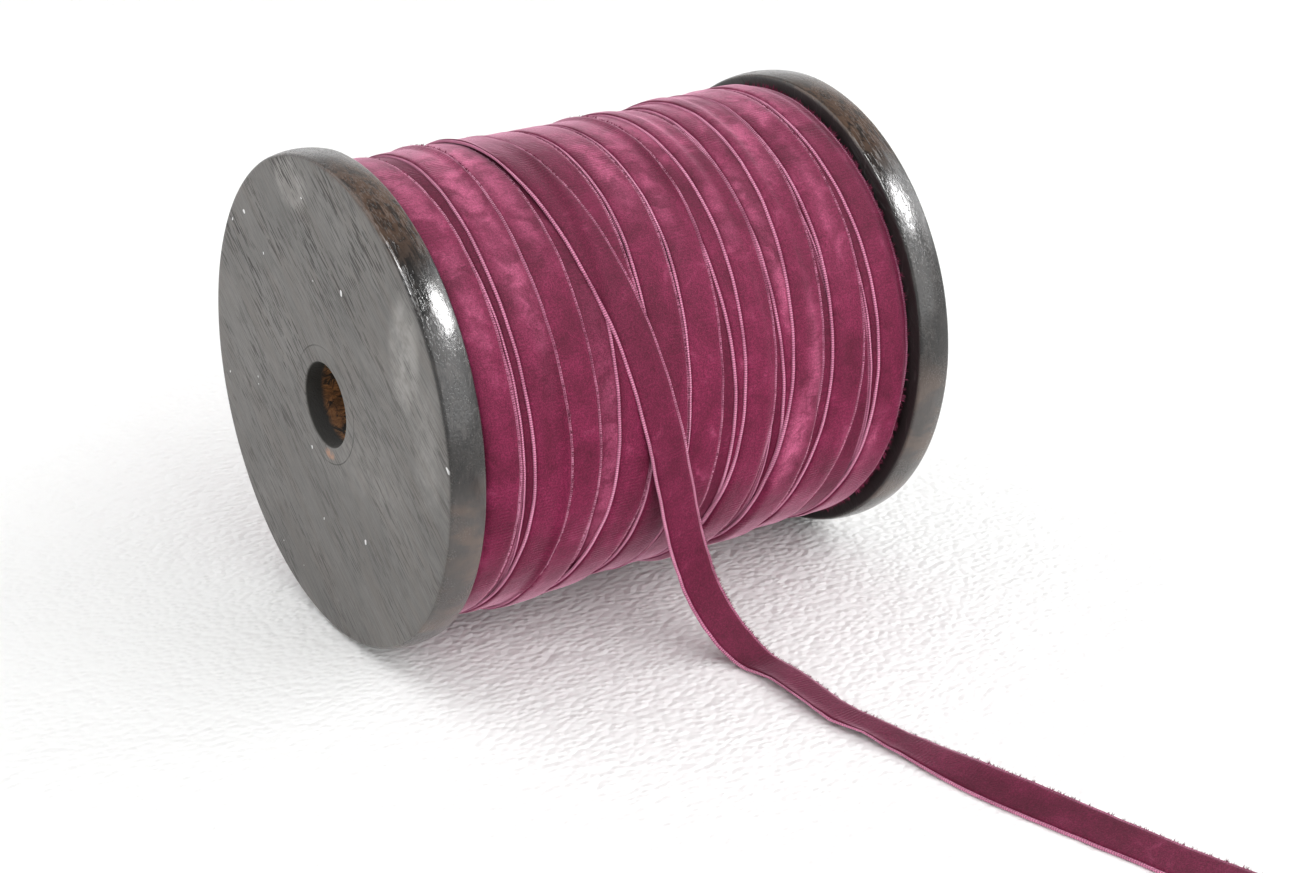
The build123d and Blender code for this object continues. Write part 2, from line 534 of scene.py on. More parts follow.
@dataclass(frozen=True)
class StainedWood:
    """Open-pored wood under a black-brown stain: dull faces, polished rims, a raw bore.

    Attributes:
        grain_turn: Angle of the grain on the flange's face, from the -Y axis, downwards.
        face: Colour of the grey outer faces, a painted reflection of the pale table on the dark
            stain.
        inner_face: Colour of the faces that the ribbon touches.
        rim: Colour of the polished rim.
        worn: Colour of the brown wood where the stain is rubbed off.
        pore: Colour of the pores.
        raw: Colour of the raw wood in the bore.
        scratched: Colour of the turning marks on the inner faces.
        chipped: Colour of the chip under the bore.
        browned: Colour of the browner bands of the faces.
        polished: Colour of the paler patches of the faces, a brighter painted reflection.
        dusty: Colour of the specks of dust.
        rubbed: Colour of the rim's rubbed front.
        painted_table_reflection: Colour of the painted reflection of the table, low on the rim.
        blotted: Colour of the dark blots in the bore.
        stained: Colour of the stain that has run into the bore.
        stain_depth: How far the stain has run into the bore.
        polish: Paler patches on the outer face, where the painted reflection is brighter.
    """

    grain_turn: float = math.radians(37.3)
    face: Colour = (0.126, 0.120, 0.113)
    inner_face: Colour = (0.010, 0.008, 0.0075)
    rim: Colour = (0.011, 0.0092, 0.0082)
    worn: Colour = (0.105, 0.055, 0.031)
    pore: Colour = (0.020, 0.017, 0.015)
    raw: Colour = (0.230, 0.100, 0.034)
    scratched: Colour = (0.05, 0.046, 0.044)
    chipped: Colour = (0.36, 0.185, 0.110)
    browned: Colour = (0.118, 0.096, 0.080)
    polished: Colour = (0.40, 0.385, 0.365)
    dusty: Colour = (0.7, 0.7, 0.7)
    rubbed: Colour = (0.105, 0.098, 0.092)
    painted_table_reflection: Colour = (0.17, 0.155, 0.147)
    blotted: Colour = (0.020, 0.013, 0.008)
    stained: Colour = (0.022, 0.020, 0.017)
    stain_depth: float = 4.6 * MM
    polish: tuple[Spot, ...] = (
        Spot(40.0 * MM, 26.0 * MM, 6.5 * MM, 13.0 * MM, 0.50),
        Spot(-13.0 * MM, 51.0 * MM, 8.0 * MM, 6.0 * MM, 0.42),
        Spot(49.0 * MM, 6.0 * MM, 6.0 * MM, 16.0 * MM, 0.22),
        Spot(20.0 * MM, -5.0 * MM, 22.0 * MM, 16.0 * MM, 0.12),
    )

    def make(self, name: str, sizes: SpoolSizes) -> bpy.types.Material:
        """Build the material.

        Args:
            name: The material's name.
            sizes: The spool's sizes, which place the rim, the faces, the ring and the bore.

        Returns:
            The material, which reads object coordinates.
        """
        n = Nodes(name)
        centred = n.place(n.object_place(), move=(0, 0, -sizes.axis_height))
        x, y, z = n.axes(centred)
        radius = n.math("SQRT", n.times_plus(y, y, n.times(z, z)))
        out = n.math("ABSOLUTE", x)

        colour, dark, relief = self.face_look(n, centred, y, z)
        inner_place = abs(sizes.left_inner)
        inner = n.span(out, inner_place + 1.0 * MM, inner_place + 0.4 * MM)
        stretched = n.place(centred, scale=(1, 1, 0.12), turn=(0.6, 0, 0))
        scratch = n.span(n.noise(stretched, 900.0, 2.0), 0.60, 0.70)
        inner_colour = n.blend(n.times(scratch, 0.5), self.inner_face, self.scratched)
        colour = n.blend(inner, colour, inner_colour)

        rim = n.span(radius, sizes.flange_radius - 1.5 * MM, sizes.flange_radius - 0.7 * MM)
        rim_colour, streak = self.rim_look(n, centred, y, z, sizes.flange_radius)
        colour = n.blend(rim, colour, rim_colour)

        from_ring = n.math("ABSOLUTE", n.math("SUBTRACT", radius, sizes.tenon_radius))
        ring = n.span(from_ring, 0.24 * MM, 0.08 * MM)
        ring = n.times(ring, n.span(n.noise(centred, 130.0, 2.0), 0.42, 0.60))
        colour = n.blend(n.times(ring, 0.6), colour, self.pore)
        colour = n.blend(self.chip(n, centred, x, y, z), colour, self.chipped)

        bore = n.span(radius, sizes.bore_radius + 0.35 * MM, sizes.bore_radius + 0.05 * MM)
        bore_colour, blot = self.bore_look(n, centred, out, sizes.half_length)
        colour = n.blend(bore, colour, bore_colour)

        fine = n.noise(centred, 900.0, 3.0, 0.6)
        face_rough = n.times_plus(fine, 0.14, 0.40)
        rim_rough = n.times_plus(streak, 0.16, 0.10)
        face_rough = n.times(face_rough, n.math("SUBTRACT", 1.0, rim))
        rough = n.math("ADD", face_rough, n.times(rim_rough, rim))
        rough = n.times_plus(dark, 0.25, rough)
        rough = n.times_plus(bore, 0.5, rough, clamp=True)

        normal = n.bump(relief, 0.12 * MM, 0.5)
        rim_waves = n.times(streak, n.times(rim, 0.28))
        waves = n.times_plus(blot, n.times(bore, 1.5), rim_waves)
        waves = n.times_plus(n.noise(centred, 120.0, 2.0), 0.5, waves)
        normal = n.bump(waves, 0.55 * MM, 0.45, normal)
        n.set(Base_Color=colour, Roughness=rough, Specular_IOR_Level=0.5, Normal=normal)
        return n.material

    def face_look(self, n: Nodes, centred: Socket, y: Socket, z: Socket) -> tuple[Socket, ...]:
        """Give the flat face's look.

        Args:
            n: The material's nodes.
            centred: The coordinate with its middle on the axis.
            y: Its second number.
            z: Its third number.

        Returns:
            The face's colour, its pores and its relief.
        """
        grain = n.place(centred, turn=(-self.grain_turn, 0, 0))
        streak = n.noise(n.place(grain, scale=(1.0, 0.055, 1.0)), 2100.0, 3.0, 0.6)
        band_place = n.place(grain, scale=(1.0, 0.12, 1.0), move=(0, 0.4, 0.2))
        band = n.noise(band_place, 330.0, 3.0, 0.55)
        pore_place = n.place(grain, scale=(1.0, 0.070, 1.0), move=(0.3, 0.1, 0.7))
        pore = n.span(n.noise(pore_place, 2900.0, 1.0, 0.4), 0.535, 0.60)
        crowd = n.noise(n.place(grain, scale=(1, 0.35, 1)), 85.0, 2.0)
        where = n.span(crowd, 0.36, 0.60, 0.15, 1.0)
        slant = n.math("SUBTRACT", z, n.times(y, -0.5))
        back_top = n.span(slant, -0.01, 0.05, 0.55, 1.0)
        pore = n.times(pore, n.times(where, back_top))
        cloud = n.noise(n.place(grain, scale=(1, 0.5, 1)), 60.0, 4.0, 0.6, 0.3)
        # The face's grey base colour is a painted reflection of the pale table.
        colour = n.blend(n.span(cloud, 0.34, 0.66), shade(self.face, 0.84), shade(self.face, 1.14))
        colour = n.blend(n.span(band, 0.40, 0.66, 0.0, 0.35), colour, self.browned)
        colour = n.blend(n.span(streak, 0.42, 0.62, 0.0, 0.42), colour, shade(self.face, 0.45))
        mottle = n.span(n.noise(centred, 210.0, 3.0, 0.6), 0.38, 0.62, 0.45, 1.0)
        # The polish spots paint a brighter reflection in patches.
        for spot in self.polish:
            strength = n.times(mottle, spot.strength)
            rubbed = n.times(self.patch(n, y, z, spot), strength)
            colour = n.blend(rubbed, colour, self.polished)
        colour = n.blend(n.times(pore, 0.85), colour, self.pore)
        dust = n.noise(n.place(centred, move=(0.2, 0.9, 0.4)), 420.0, 0.0)
        colour = n.blend(n.span(dust, 0.875, 0.885), colour, self.dusty)
        relief = n.times_plus(streak, 0.45, n.times(pore, -1.0))
        return colour, pore, relief

    def patch(self, n: Nodes, y: Socket, z: Socket, spot: Spot) -> Socket:
        """Give how strongly a soft patch shows.

        Args:
            n: The material's nodes.
            y: Second number of the centred coordinate.
            z: Its third number.
            spot: The patch.

        Returns:
            A number from 0 to 1.
        """
        away_y = n.times(n.math("ADD", y, spot.forward), 1.0 / spot.wide)
        away_z = n.times(n.math("SUBTRACT", z, spot.up), 1.0 / spot.tall)
        away = n.times_plus(away_y, away_y, n.times(away_z, away_z))
        return n.span(away, 1.6, 0.2)

    def rim_look(
        self, n: Nodes, centred: Socket, y: Socket, z: Socket, full: float
    ) -> tuple[Socket, Socket]:
        """Give the rim's look: browner on top, rubbed in front, and a painted reflection of the
        table below.

        Args:
            n: The material's nodes.
            centred: The coordinate with its middle on the axis.
            y: Its second number.
            z: Its third number.
            full: The flange's radius.

        Returns:
            The rim's colour and the streaks of its polish.
        """
        streak = n.noise(n.place(centred, scale=(1.5, 0.5, 0.5)), 480.0, 4.0, 0.65, 0.6)
        broad = n.noise(n.place(centred, scale=(0.5, 1.0, 1.0)), 120.0, 4.0, 0.6, 0.4)
        colour = n.blend(n.span(streak, 0.38, 0.64), shade(self.rim, 0.45), shade(self.rim, 1.5))
        crest = n.span(z, 1.02 * full, 0.97 * full, 0.2, 1.0)
        top = n.times(n.span(z, 0.72 * full, 0.90 * full, 0.0, 0.75), crest)
        top = n.times(top, n.span(y, 0.1 * full, -0.15 * full, 0.35, 1.0))
        to_front = n.span(y, 0.0, -0.3 * full, 0.5, 1.0)
        low = n.times(n.span(z, 0.12 * full, -0.15 * full), to_front)
        wear = n.times(top, n.span(streak, 0.34, 0.58, 0.15, 0.85))
        low_wear = n.times(low, n.span(broad, 0.44, 0.62))
        wear = n.times_plus(low_wear, 0.50, wear, clamp=True)
        colour = n.blend(wear, colour, self.worn)
        rubbed = n.times(n.span(broad, 0.46, 0.66), n.span(streak, 0.44, 0.62))
        below_top = n.span(z, 0.78 * full, 0.60 * full)
        front = n.times(n.span(z, -0.3 * full, 0.1 * full), below_top)
        rubbed = n.times(n.times(rubbed, front), 0.18)
        colour = n.blend(rubbed, colour, self.rubbed)
        # Painted reflection: the rim's low front is lightened towards the grey of the table's
        # reflection.
        return n.blend(n.times(low, 0.30), colour, self.painted_table_reflection), streak

    def chip(self, n: Nodes, centred: Socket, x: Socket, y: Socket, z: Socket) -> Socket:
        """Give the small chip of raw wood under the left end of the bore.

        Args:
            n: The material's nodes.
            centred: The coordinate with its middle on the axis.
            x: Its first number.
            y: Its second number.
            z: Its third number.

        Returns:
            How strongly the chip shows, 0 to 1.
        """
        away = self.patch(n, y, z, Spot(1.4 * MM, -12.0 * MM, 2.2 * MM, 1.3 * MM, 1.0))
        ragged = n.span(n.noise(centred, 800.0, 2.0), 0.40, 0.60, 0.2, 1.0)
        left_end = n.span(x, 0.0, -0.02, 0.0, 0.8)
        return n.times(away, n.times(ragged, left_end))

    def bore_look(
        self, n: Nodes, centred: Socket, out: Socket, half_length: float
    ) -> tuple[Socket, Socket]:
        """Give the bore's look: stained at its mouth and raw deeper in.

        Args:
            n: The material's nodes.
            centred: The coordinate with its middle on the axis.
            out: Distance from the spool's middle along the axis.
            half_length: Half of the spool's length.

        Returns:
            The bore's colour and its blots.
        """
        fibre = n.noise(n.place(centred, scale=(0.4, 1.0, 1.0)), 560.0, 4.0, 0.7, 1.0)
        blot = n.noise(centred, 330.0, 4.0, 0.7, 0.8)
        colour = n.blend(n.span(fibre, 0.36, 0.66), shade(self.raw, 0.5), shade(self.raw, 1.7))
        colour = n.blend(n.span(blot, 0.48, 0.60), colour, self.blotted)
        depth = n.math("SUBTRACT", half_length, out)
        ragged = n.times_plus(blot, 3.0 * MM, n.math("SUBTRACT", depth, 1.5 * MM))
        stained = n.span(ragged, self.stain_depth + 0.8 * MM, self.stain_depth - 0.8 * MM)
        return n.blend(stained, colour, self.stained), blot


@dataclass(frozen=True)
class TackSteel:
    """Plain steel of the hidden tack.

    Attributes:
        colour: Its colour.
        rust: Colour of its spots of rust.
    """

    colour: Colour = (0.42, 0.41, 0.39)
    rust: Colour = (0.20, 0.13, 0.08)

    def make(self, name: str) -> bpy.types.Material:
        """Build the material.

        Args:
            name: The material's name.

        Returns:
            The material, which reads object coordinates.
        """
        n = Nodes(name)
        spots = n.noise(n.object_place(), 2500.0, 3.0)
        n.set(
            Base_Color=n.blend(n.span(spots, 0.4, 0.7), self.colour, self.rust),
            Metallic=1.0,
            Roughness=n.span(spots, 0.3, 0.7, 0.3, 0.55),
        )
        return n.material


# ---------------------------------------------------------------- mesh helpers
def show(mesh: bpy.types.Mesh, material: bpy.types.Material, sharp: float = 40.0) -> Piece:
    """Shade a mesh smooth, give it its material and put it in the scene.

    Args:
        mesh: The mesh.
        material: Its material.
        sharp: Angle in degrees above which an edge is shaded sharp.

    Returns:
        The piece, which has the mesh's name.
    """
    mesh.shade_smooth()
    mesh.set_sharp_from_angle(angle=math.radians(sharp))
    mesh.materials.append(material)
    piece = bpy.data.objects.new(mesh.name, mesh)
    bpy.context.scene.collection.objects.link(piece)
    return piece


def strip_piece(name: str, points: np.ndarray, faces: list, material: bpy.types.Material) -> Piece:
    """Make a piece of soft goods from points and faces.

    Args:
        name: The piece's name.
        points: Rows of x, y, z in metres.
        faces: Tuples of point numbers.
        material: Its material.

    Returns:
        The piece.
    """
    mesh = bpy.data.meshes.new(name)
    mesh.from_pydata([tuple(point) for point in points], [], faces)
    mesh.validate()
    mesh.update()
    return show(mesh, material)


def spin_outline(
    outline: list[tuple[float, float]], height: float, steps: int
) -> bmesh.types.BMesh:
    """Spin a closed outline about the spool's axis.

    Args:
        outline: Pairs of axial place and radius, in order round the section.
        height: Height of the axis.
        steps: Steps in the full turn.

    Returns:
        The shape, with its seam closed and its normals outwards.
    """
    work = bmesh.new()
    verts = [work.verts.new((place, 0.0, height + radius)) for place, radius in outline]
    edges = [work.edges.new(pair) for pair in zip(verts, verts[1:] + verts[:1])]
    bmesh.ops.spin(
        work,
        geom=verts + edges,
        cent=(0, 0, height),
        axis=(1, 0, 0),
        angle=FULL_TURN,
        steps=steps,
        use_merge=True,
    )
    bmesh.ops.recalc_face_normals(work, faces=work.faces)
    return work


def mesh_from(work: bmesh.types.BMesh, name: str) -> bpy.types.Mesh:
    """Write worked geometry to a new mesh.

    Args:
        work: The geometry, which is freed.
        name: The mesh's name.

    Returns:
        The mesh.
    """
    mesh = bpy.data.meshes.new(name)
    work.to_mesh(mesh)
    work.free()
    return mesh


def ripple(angles: np.ndarray, seed: int, size: float, waves: tuple) -> np.ndarray:
    """Give a smooth closed wobble round the spool.

    Args:
        angles: Angles in radians.
        seed: Number that fixes the wobble.
        size: Its greatest size, about.
        waves: Whole numbers of waves in a full turn.

    Returns:
        The wobble at each angle.
    """
    chance = np.random.default_rng(seed)
    total = np.zeros_like(angles)
    for wave in waves:
        total += chance.uniform(0.4, 1.0) * np.sin(wave * angles + chance.uniform(0, FULL_TURN))
    return size * total / len(waves)


def soften(values: np.ndarray, steps: float, axis: int, closed: bool) -> np.ndarray:
    """Blur an array along one axis with a bell.

    Args:
        values: The array.
        steps: The bell's width in steps.
        axis: The axis.
        closed: True where the array's end meets its start.

    Returns:
        The blurred array.
    """
    reach = int(math.ceil(3 * steps))
    offsets = np.arange(-reach, reach + 1)
    bell = np.exp(-0.5 * (offsets / steps) ** 2)
    bell /= bell.sum()
    pad = [(0, 0)] * values.ndim
    pad[axis] = (reach, reach)
    padded = np.pad(values, pad, mode="wrap" if closed else "edge")
    return np.apply_along_axis(lambda line: np.convolve(line, bell, mode="valid"), axis, padded)


# ---------------------------------------------------------------- the ribbon
@dataclass(frozen=True)
class RibbonSection:
    """Cross-section of the ribbon: thin selvedges and a domed pile.

    Attributes:
        width: Width over the selvedges.
        thickness: Height of the pile's crown.
        selvedge: Width of each selvedge.
        selvedge_thickness: Its height.
        bedding: Height at which the next turn rests on this one, since pile gives way.
    """

    width: float = 10.0 * MM
    thickness: float = 1.0 * MM
    selvedge: float = 0.66 * MM
    selvedge_thickness: float = 0.58 * MM
    bedding: float = 0.80 * MM

    def top(self) -> tuple[np.ndarray, np.ndarray]:
        """Give the upper outline, left to right.

        Returns:
            Places across and heights.
        """
        half = self.width / 2
        low = self.selvedge_thickness
        shoulder = half - self.selvedge
        weave = ((0.0, 0.30), (0.05, 0.80), (0.20, 1.0), (0.38, 1.0))
        pile = (
            (0.05, 0.66), (0.18, 0.82), (0.42, 0.92), (0.95, 0.97),
            (1.8, 1.0), (2.8, 1.0), (3.7, 1.0),
        )
        right = [(half - inward * MM, share * low) for inward, share in weave]
        right.append((shoulder, 0.88 * low))
        right += [(shoulder - inward * MM, share * self.thickness) for inward, share in pile]
        places = [-place for place, _ in right] + [place for place, _ in reversed(right)]
        heights = [height for _, height in right + right[::-1]]
        return np.array(places), np.array(heights)

    def underside(self) -> np.ndarray:
        """Give the places across of the flat underside, right to left."""
        half = self.width / 2
        return np.linspace(half - 0.05 * MM, -half + 0.05 * MM, 7)


def skin(rows: int, ring: int, closed: bool) -> list[tuple[int, ...]]:
    """Give the faces of a tube of rings, with end caps when it is open.

    Args:
        rows: Number of rings.
        ring: Points in each ring.
        closed: True where the last ring joins the first.

    Returns:
        The faces as tuples of point numbers.
    """
    faces = []
    for row in range(rows if closed else rows - 1):
        here, after = row * ring, ((row + 1) % rows) * ring
        for step in range(ring):
            beside = (step + 1) % ring
            faces.append((here + step, here + beside, after + beside, after + step))
    if not closed:
        faces.append(tuple(reversed(range(ring))))
        faces.append(tuple(range((rows - 1) * ring, rows * ring)))
    return faces


def map_ribbon(
    piece: Piece,
    along: np.ndarray,
    across: np.ndarray,
    total: float,
    crush: np.ndarray,
    strip: float = 0.0,
) -> None:
    """Write the ribbon's own map, its crushed patches and its number onto a strip.

    Args:
        piece: The strip.
        along: Metres along the ribbon at each point.
        across: Metres across it at each point.
        total: Length of a closed turn, or 0 for an open strip.
        crush: How crushed the pile is at each point, with painted sheen, 0 to 1.
        strip: A number of its own, which sets its mottling apart from its neighbours'.
    """
    mesh = piece.data
    corner_points = np.zeros(len(mesh.loops), dtype=np.int64)
    mesh.loops.foreach_get("vertex_index", corner_points)
    u = along[corner_points]
    v = across[corner_points]
    if total:
        starts = np.zeros(len(mesh.polygons), dtype=np.int64)
        sizes = np.zeros(len(mesh.polygons), dtype=np.int64)
        mesh.polygons.foreach_get("loop_start", starts)
        mesh.polygons.foreach_get("loop_total", sizes)
        face = np.repeat(np.arange(len(starts)), sizes)
        highest = np.maximum.reduceat(u, starts)[face]
        u = np.where(highest - u > total / 2, u + total, u)
    layer = mesh.uv_layers.new(name="ribbon")
    layer.data.foreach_set("uv", np.column_stack((u, v)).astype(np.float32).ravel())
    for name, values in (("crush", crush), ("strip", np.full(len(mesh.vertices), strip))):
        numbers = mesh.attributes.new(name, "FLOAT", "POINT")
        numbers.data.foreach_set("value", values.astype(np.float32))


@dataclass(frozen=True)
class Fringe:
    """Stray hairs of the pile along the right edge of a strip, each a thin closed spike.

    Attributes:
        density: Hairs per millimetre.
        seed: Number that fixes where they stand.
        shortest: Length of the shortest.
        longest: Length of the longest.
        thickness: Width at the root.
        upright: Share by which they stand up from the pile instead of reaching aside.
        outset: How far outside the pile's shoulder they stand.
    """

    density: float
    seed: int
    shortest: float = 0.25 * MM
    longest: float = 0.85 * MM
    thickness: float = 0.13 * MM
    upright: float = 0.0
    outset: float = 0.45 * MM

    TUFTS: ClassVar[int] = 3

    def grow(
        self,
        points: np.ndarray,
        along: np.ndarray,
        section: RibbonSection,
        closed: bool,
        limit: float,
    ) -> tuple[np.ndarray, np.ndarray, np.ndarray]:
        """Grow the hairs.

        Args:
            points: The strip's points, row by row.
            along: Metres along the ribbon of each row.
            section: The ribbon's cross-section.
            closed: True where the last row joins the first.
            limit: Greatest axial place that a hair may reach.

        Returns:
            The hairs' points, their metres along, and their metres across.
        """
        places, _ = section.top()
        pile_edge = section.width / 2 - section.selvedge
        shoulder = int(np.argmin(np.abs(places - (pile_edge - 0.12 * MM))))
        inside = shoulder - 3
        rows = len(points)
        steps = np.linalg.norm(np.diff(points[:, shoulder], axis=0), axis=1)
        count = int(steps.sum() / MM * self.density)
        chance = np.random.default_rng(self.seed)
        spans = rows if closed else rows - 1
        where = chance.uniform(0, spans - 1e-6, count)
        clumps = chance.uniform(0.0, 1.0, self.TUFTS * spans)
        full = clumps[(where * self.TUFTS).astype(int)]
        keep = chance.uniform(0, 1, count) < 0.15 + 0.85 * full
        where = where[keep]
        full = full[keep][:, None]
        count = len(where)
        row = where.astype(int)
        share = (where - row)[:, None]
        after = (row + 1) % rows
        foot = points[row, shoulder] * (1 - share) + points[after, shoulder] * share
        inner = points[row, inside] * (1 - share) + points[after, inside] * share
        run = points[after, shoulder] - points[row, shoulder]
        run /= np.linalg.norm(run, axis=1)[:, None]
        aside = foot - inner
        aside /= np.linalg.norm(aside, axis=1)[:, None]
        rise = np.cross(aside, run)
        rise /= np.linalg.norm(rise, axis=1)[:, None]
        under = points[row, len(places) + 1]
        outward = np.sign(np.einsum("ij,ij->i", rise, foot - under))[:, None]
        rise *= np.where(outward == 0, 1, outward)
        length = chance.uniform(self.shortest, self.longest, (count, 1)) * (0.25 + 0.85 * full**1.5)
        lean = chance.uniform(0.35, 1.1, (count, 1)) * (1 - self.upright)
        drift = chance.uniform(-0.5, 0.5, (count, 1))
        way = aside * lean + rise * chance.uniform(0.15, 0.9, (count, 1)) + run * drift
        way /= np.linalg.norm(way, axis=1)[:, None]
        foot = foot + aside * self.outset - rise * 0.6 * self.outset
        root = foot - way * 0.08 * MM
        tip = root + way * (length + 0.08 * MM)
        tip[:, 0] = np.minimum(tip[:, 0], limit)
        half = self.thickness / 2
        first = root + run * half
        second = root - run * half
        third = root + np.cross(way, run) * self.thickness * 0.8
        spikes = np.stack((first, second, third, tip), axis=1).reshape(-1, 3)
        u = np.repeat(along[row], 4)
        v = np.full(len(u), pile_edge - 0.6 * MM)
        return spikes, u, v


def ribbon_piece(
    name: str,
    points: np.ndarray,
    offsets: np.ndarray,
    along: np.ndarray,
    crush: np.ndarray,
    hairs: tuple,
    closed_length: float,
    material: bpy.types.Material,
    strip: float,
) -> Piece:
    """Make a strip with its hairs, its map and its crushed patches.

    Args:
        name: The piece's name.
        points: The strip's points, row by row.
        offsets: Metres across the ribbon of each point of a row.
        along: Metres along the ribbon of each row.
        crush: How crushed each point is, with painted sheen.
        hairs: What Fringe.grow returned.
        closed_length: Length of a closed turn, or 0 for an open strip.
        material: Its velvet.
        strip: The number that sets its mottling apart.

    Returns:
        The piece.
    """
    rows, ring = points.shape[:2]
    spikes, hair_along, hair_across = hairs
    base = rows * ring
    faces = skin(rows, ring, closed_length > 0)
    for number in range(len(spikes) // 4):
        a, b, c, d = (base + 4 * number + corner for corner in range(4))
        faces += [(a, b, c), (a, d, b), (b, d, c), (c, d, a)]
    every = np.concatenate((points.reshape(-1, 3), spikes))
    piece = strip_piece(name, every, faces, material)
    u = np.concatenate((np.repeat(along, ring), hair_along))
    v = np.concatenate((np.tile(offsets, rows), hair_across))
    # The hairs take a quarter share of the crushed colour: painted sheen on the stray fibres.
    worn = np.concatenate((crush, np.full(len(spikes), 0.25)))
    map_ribbon(piece, u, v, closed_length, worn, strip)
    return piece


class WindingSurface:
    """Height of the winding over axial place and angle, raised by each turn laid on it."""

    ROWS: ClassVar[int] = 240

    def __init__(self, sizes: SpoolSizes, section: RibbonSection) -> None:
        """Start from the smooth drum of the inner windings.

        Args:
            sizes: The spool's sizes.
            section: The ribbon's cross-section.
        """
        self.sizes = sizes
        self.section = section
        self.step = 0.25 * MM
        self.places = np.arange(sizes.left_inner, sizes.right_inner + self.step / 2, self.step)
        self.angles = np.arange(self.ROWS) * FULL_TURN / self.ROWS
        self.height = sizes.pack_radius + self.fullness()

    def fullness(self) -> np.ndarray:
        """Give how much fuller the inner windings are to the right, most at the top.

        Returns:
            The extra radius at each row and place.
        """
        right = np.interp(self.places / MM, (16, 28, 40, 52), (0.0, 0.4, 1.1, 1.8)) * MM
        top = 0.42 + 0.78 * np.exp(-(((np.degrees(self.angles) - 95) / 50) ** 2))
        return top[:, None] * right[None, :]

    def bed(self) -> np.ndarray:
        """Give the surface as a ribbon bridges it: narrow gaps closed and steps rounded.

        Returns:
            The radius at each row and place.
        """
        reach = int(0.75 * MM / self.step)
        window = 2 * reach + 1
        view = np.lib.stride_tricks.sliding_window_view
        padded = np.pad(self.height, ((0, 0), (reach, reach)), mode="edge")
        raised = view(padded, window, axis=1).max(axis=2)
        padded = np.pad(raised, ((0, 0), (reach, reach)), mode="edge")
        closed = view(padded, window, axis=1).min(axis=2)
        smooth = soften(closed, 0.38 * MM / self.step, 1, False)
        return soften(smooth, 1.6, 0, True)

    def lay(self, centres: np.ndarray) -> tuple[np.ndarray, np.ndarray]:
        """Lay a turn on the surface and raise the surface there.

        Args:
            centres: Axial place of the turn's middle at each row.

        Returns:
            The underside's radius at each row and each of the top's places across, and the
            same at the underside's own places.
        """
        bed = self.bed()
        top_places, _ = self.section.top()
        under_places = self.section.underside()
        tops = np.zeros((self.ROWS, len(top_places)))
        unders = np.zeros((self.ROWS, len(under_places)))
        half = self.section.width / 2
        low = self.section.selvedge_thickness
        for row, centre in enumerate(centres):
            tops[row] = np.interp(centre + top_places, self.places, bed[row])
            unders[row] = np.interp(centre + under_places, self.places, bed[row])
            offset = np.abs(self.places - centre)
            covered = offset <= half
            edge = np.clip((half - offset[covered]) / (0.7 * MM), 0.0, 1.0)
            raised = bed[row][covered] + low + edge * (self.section.bedding - low)
            self.height[row][covered] = np.maximum(self.height[row][covered], raised)
        return tops, unders


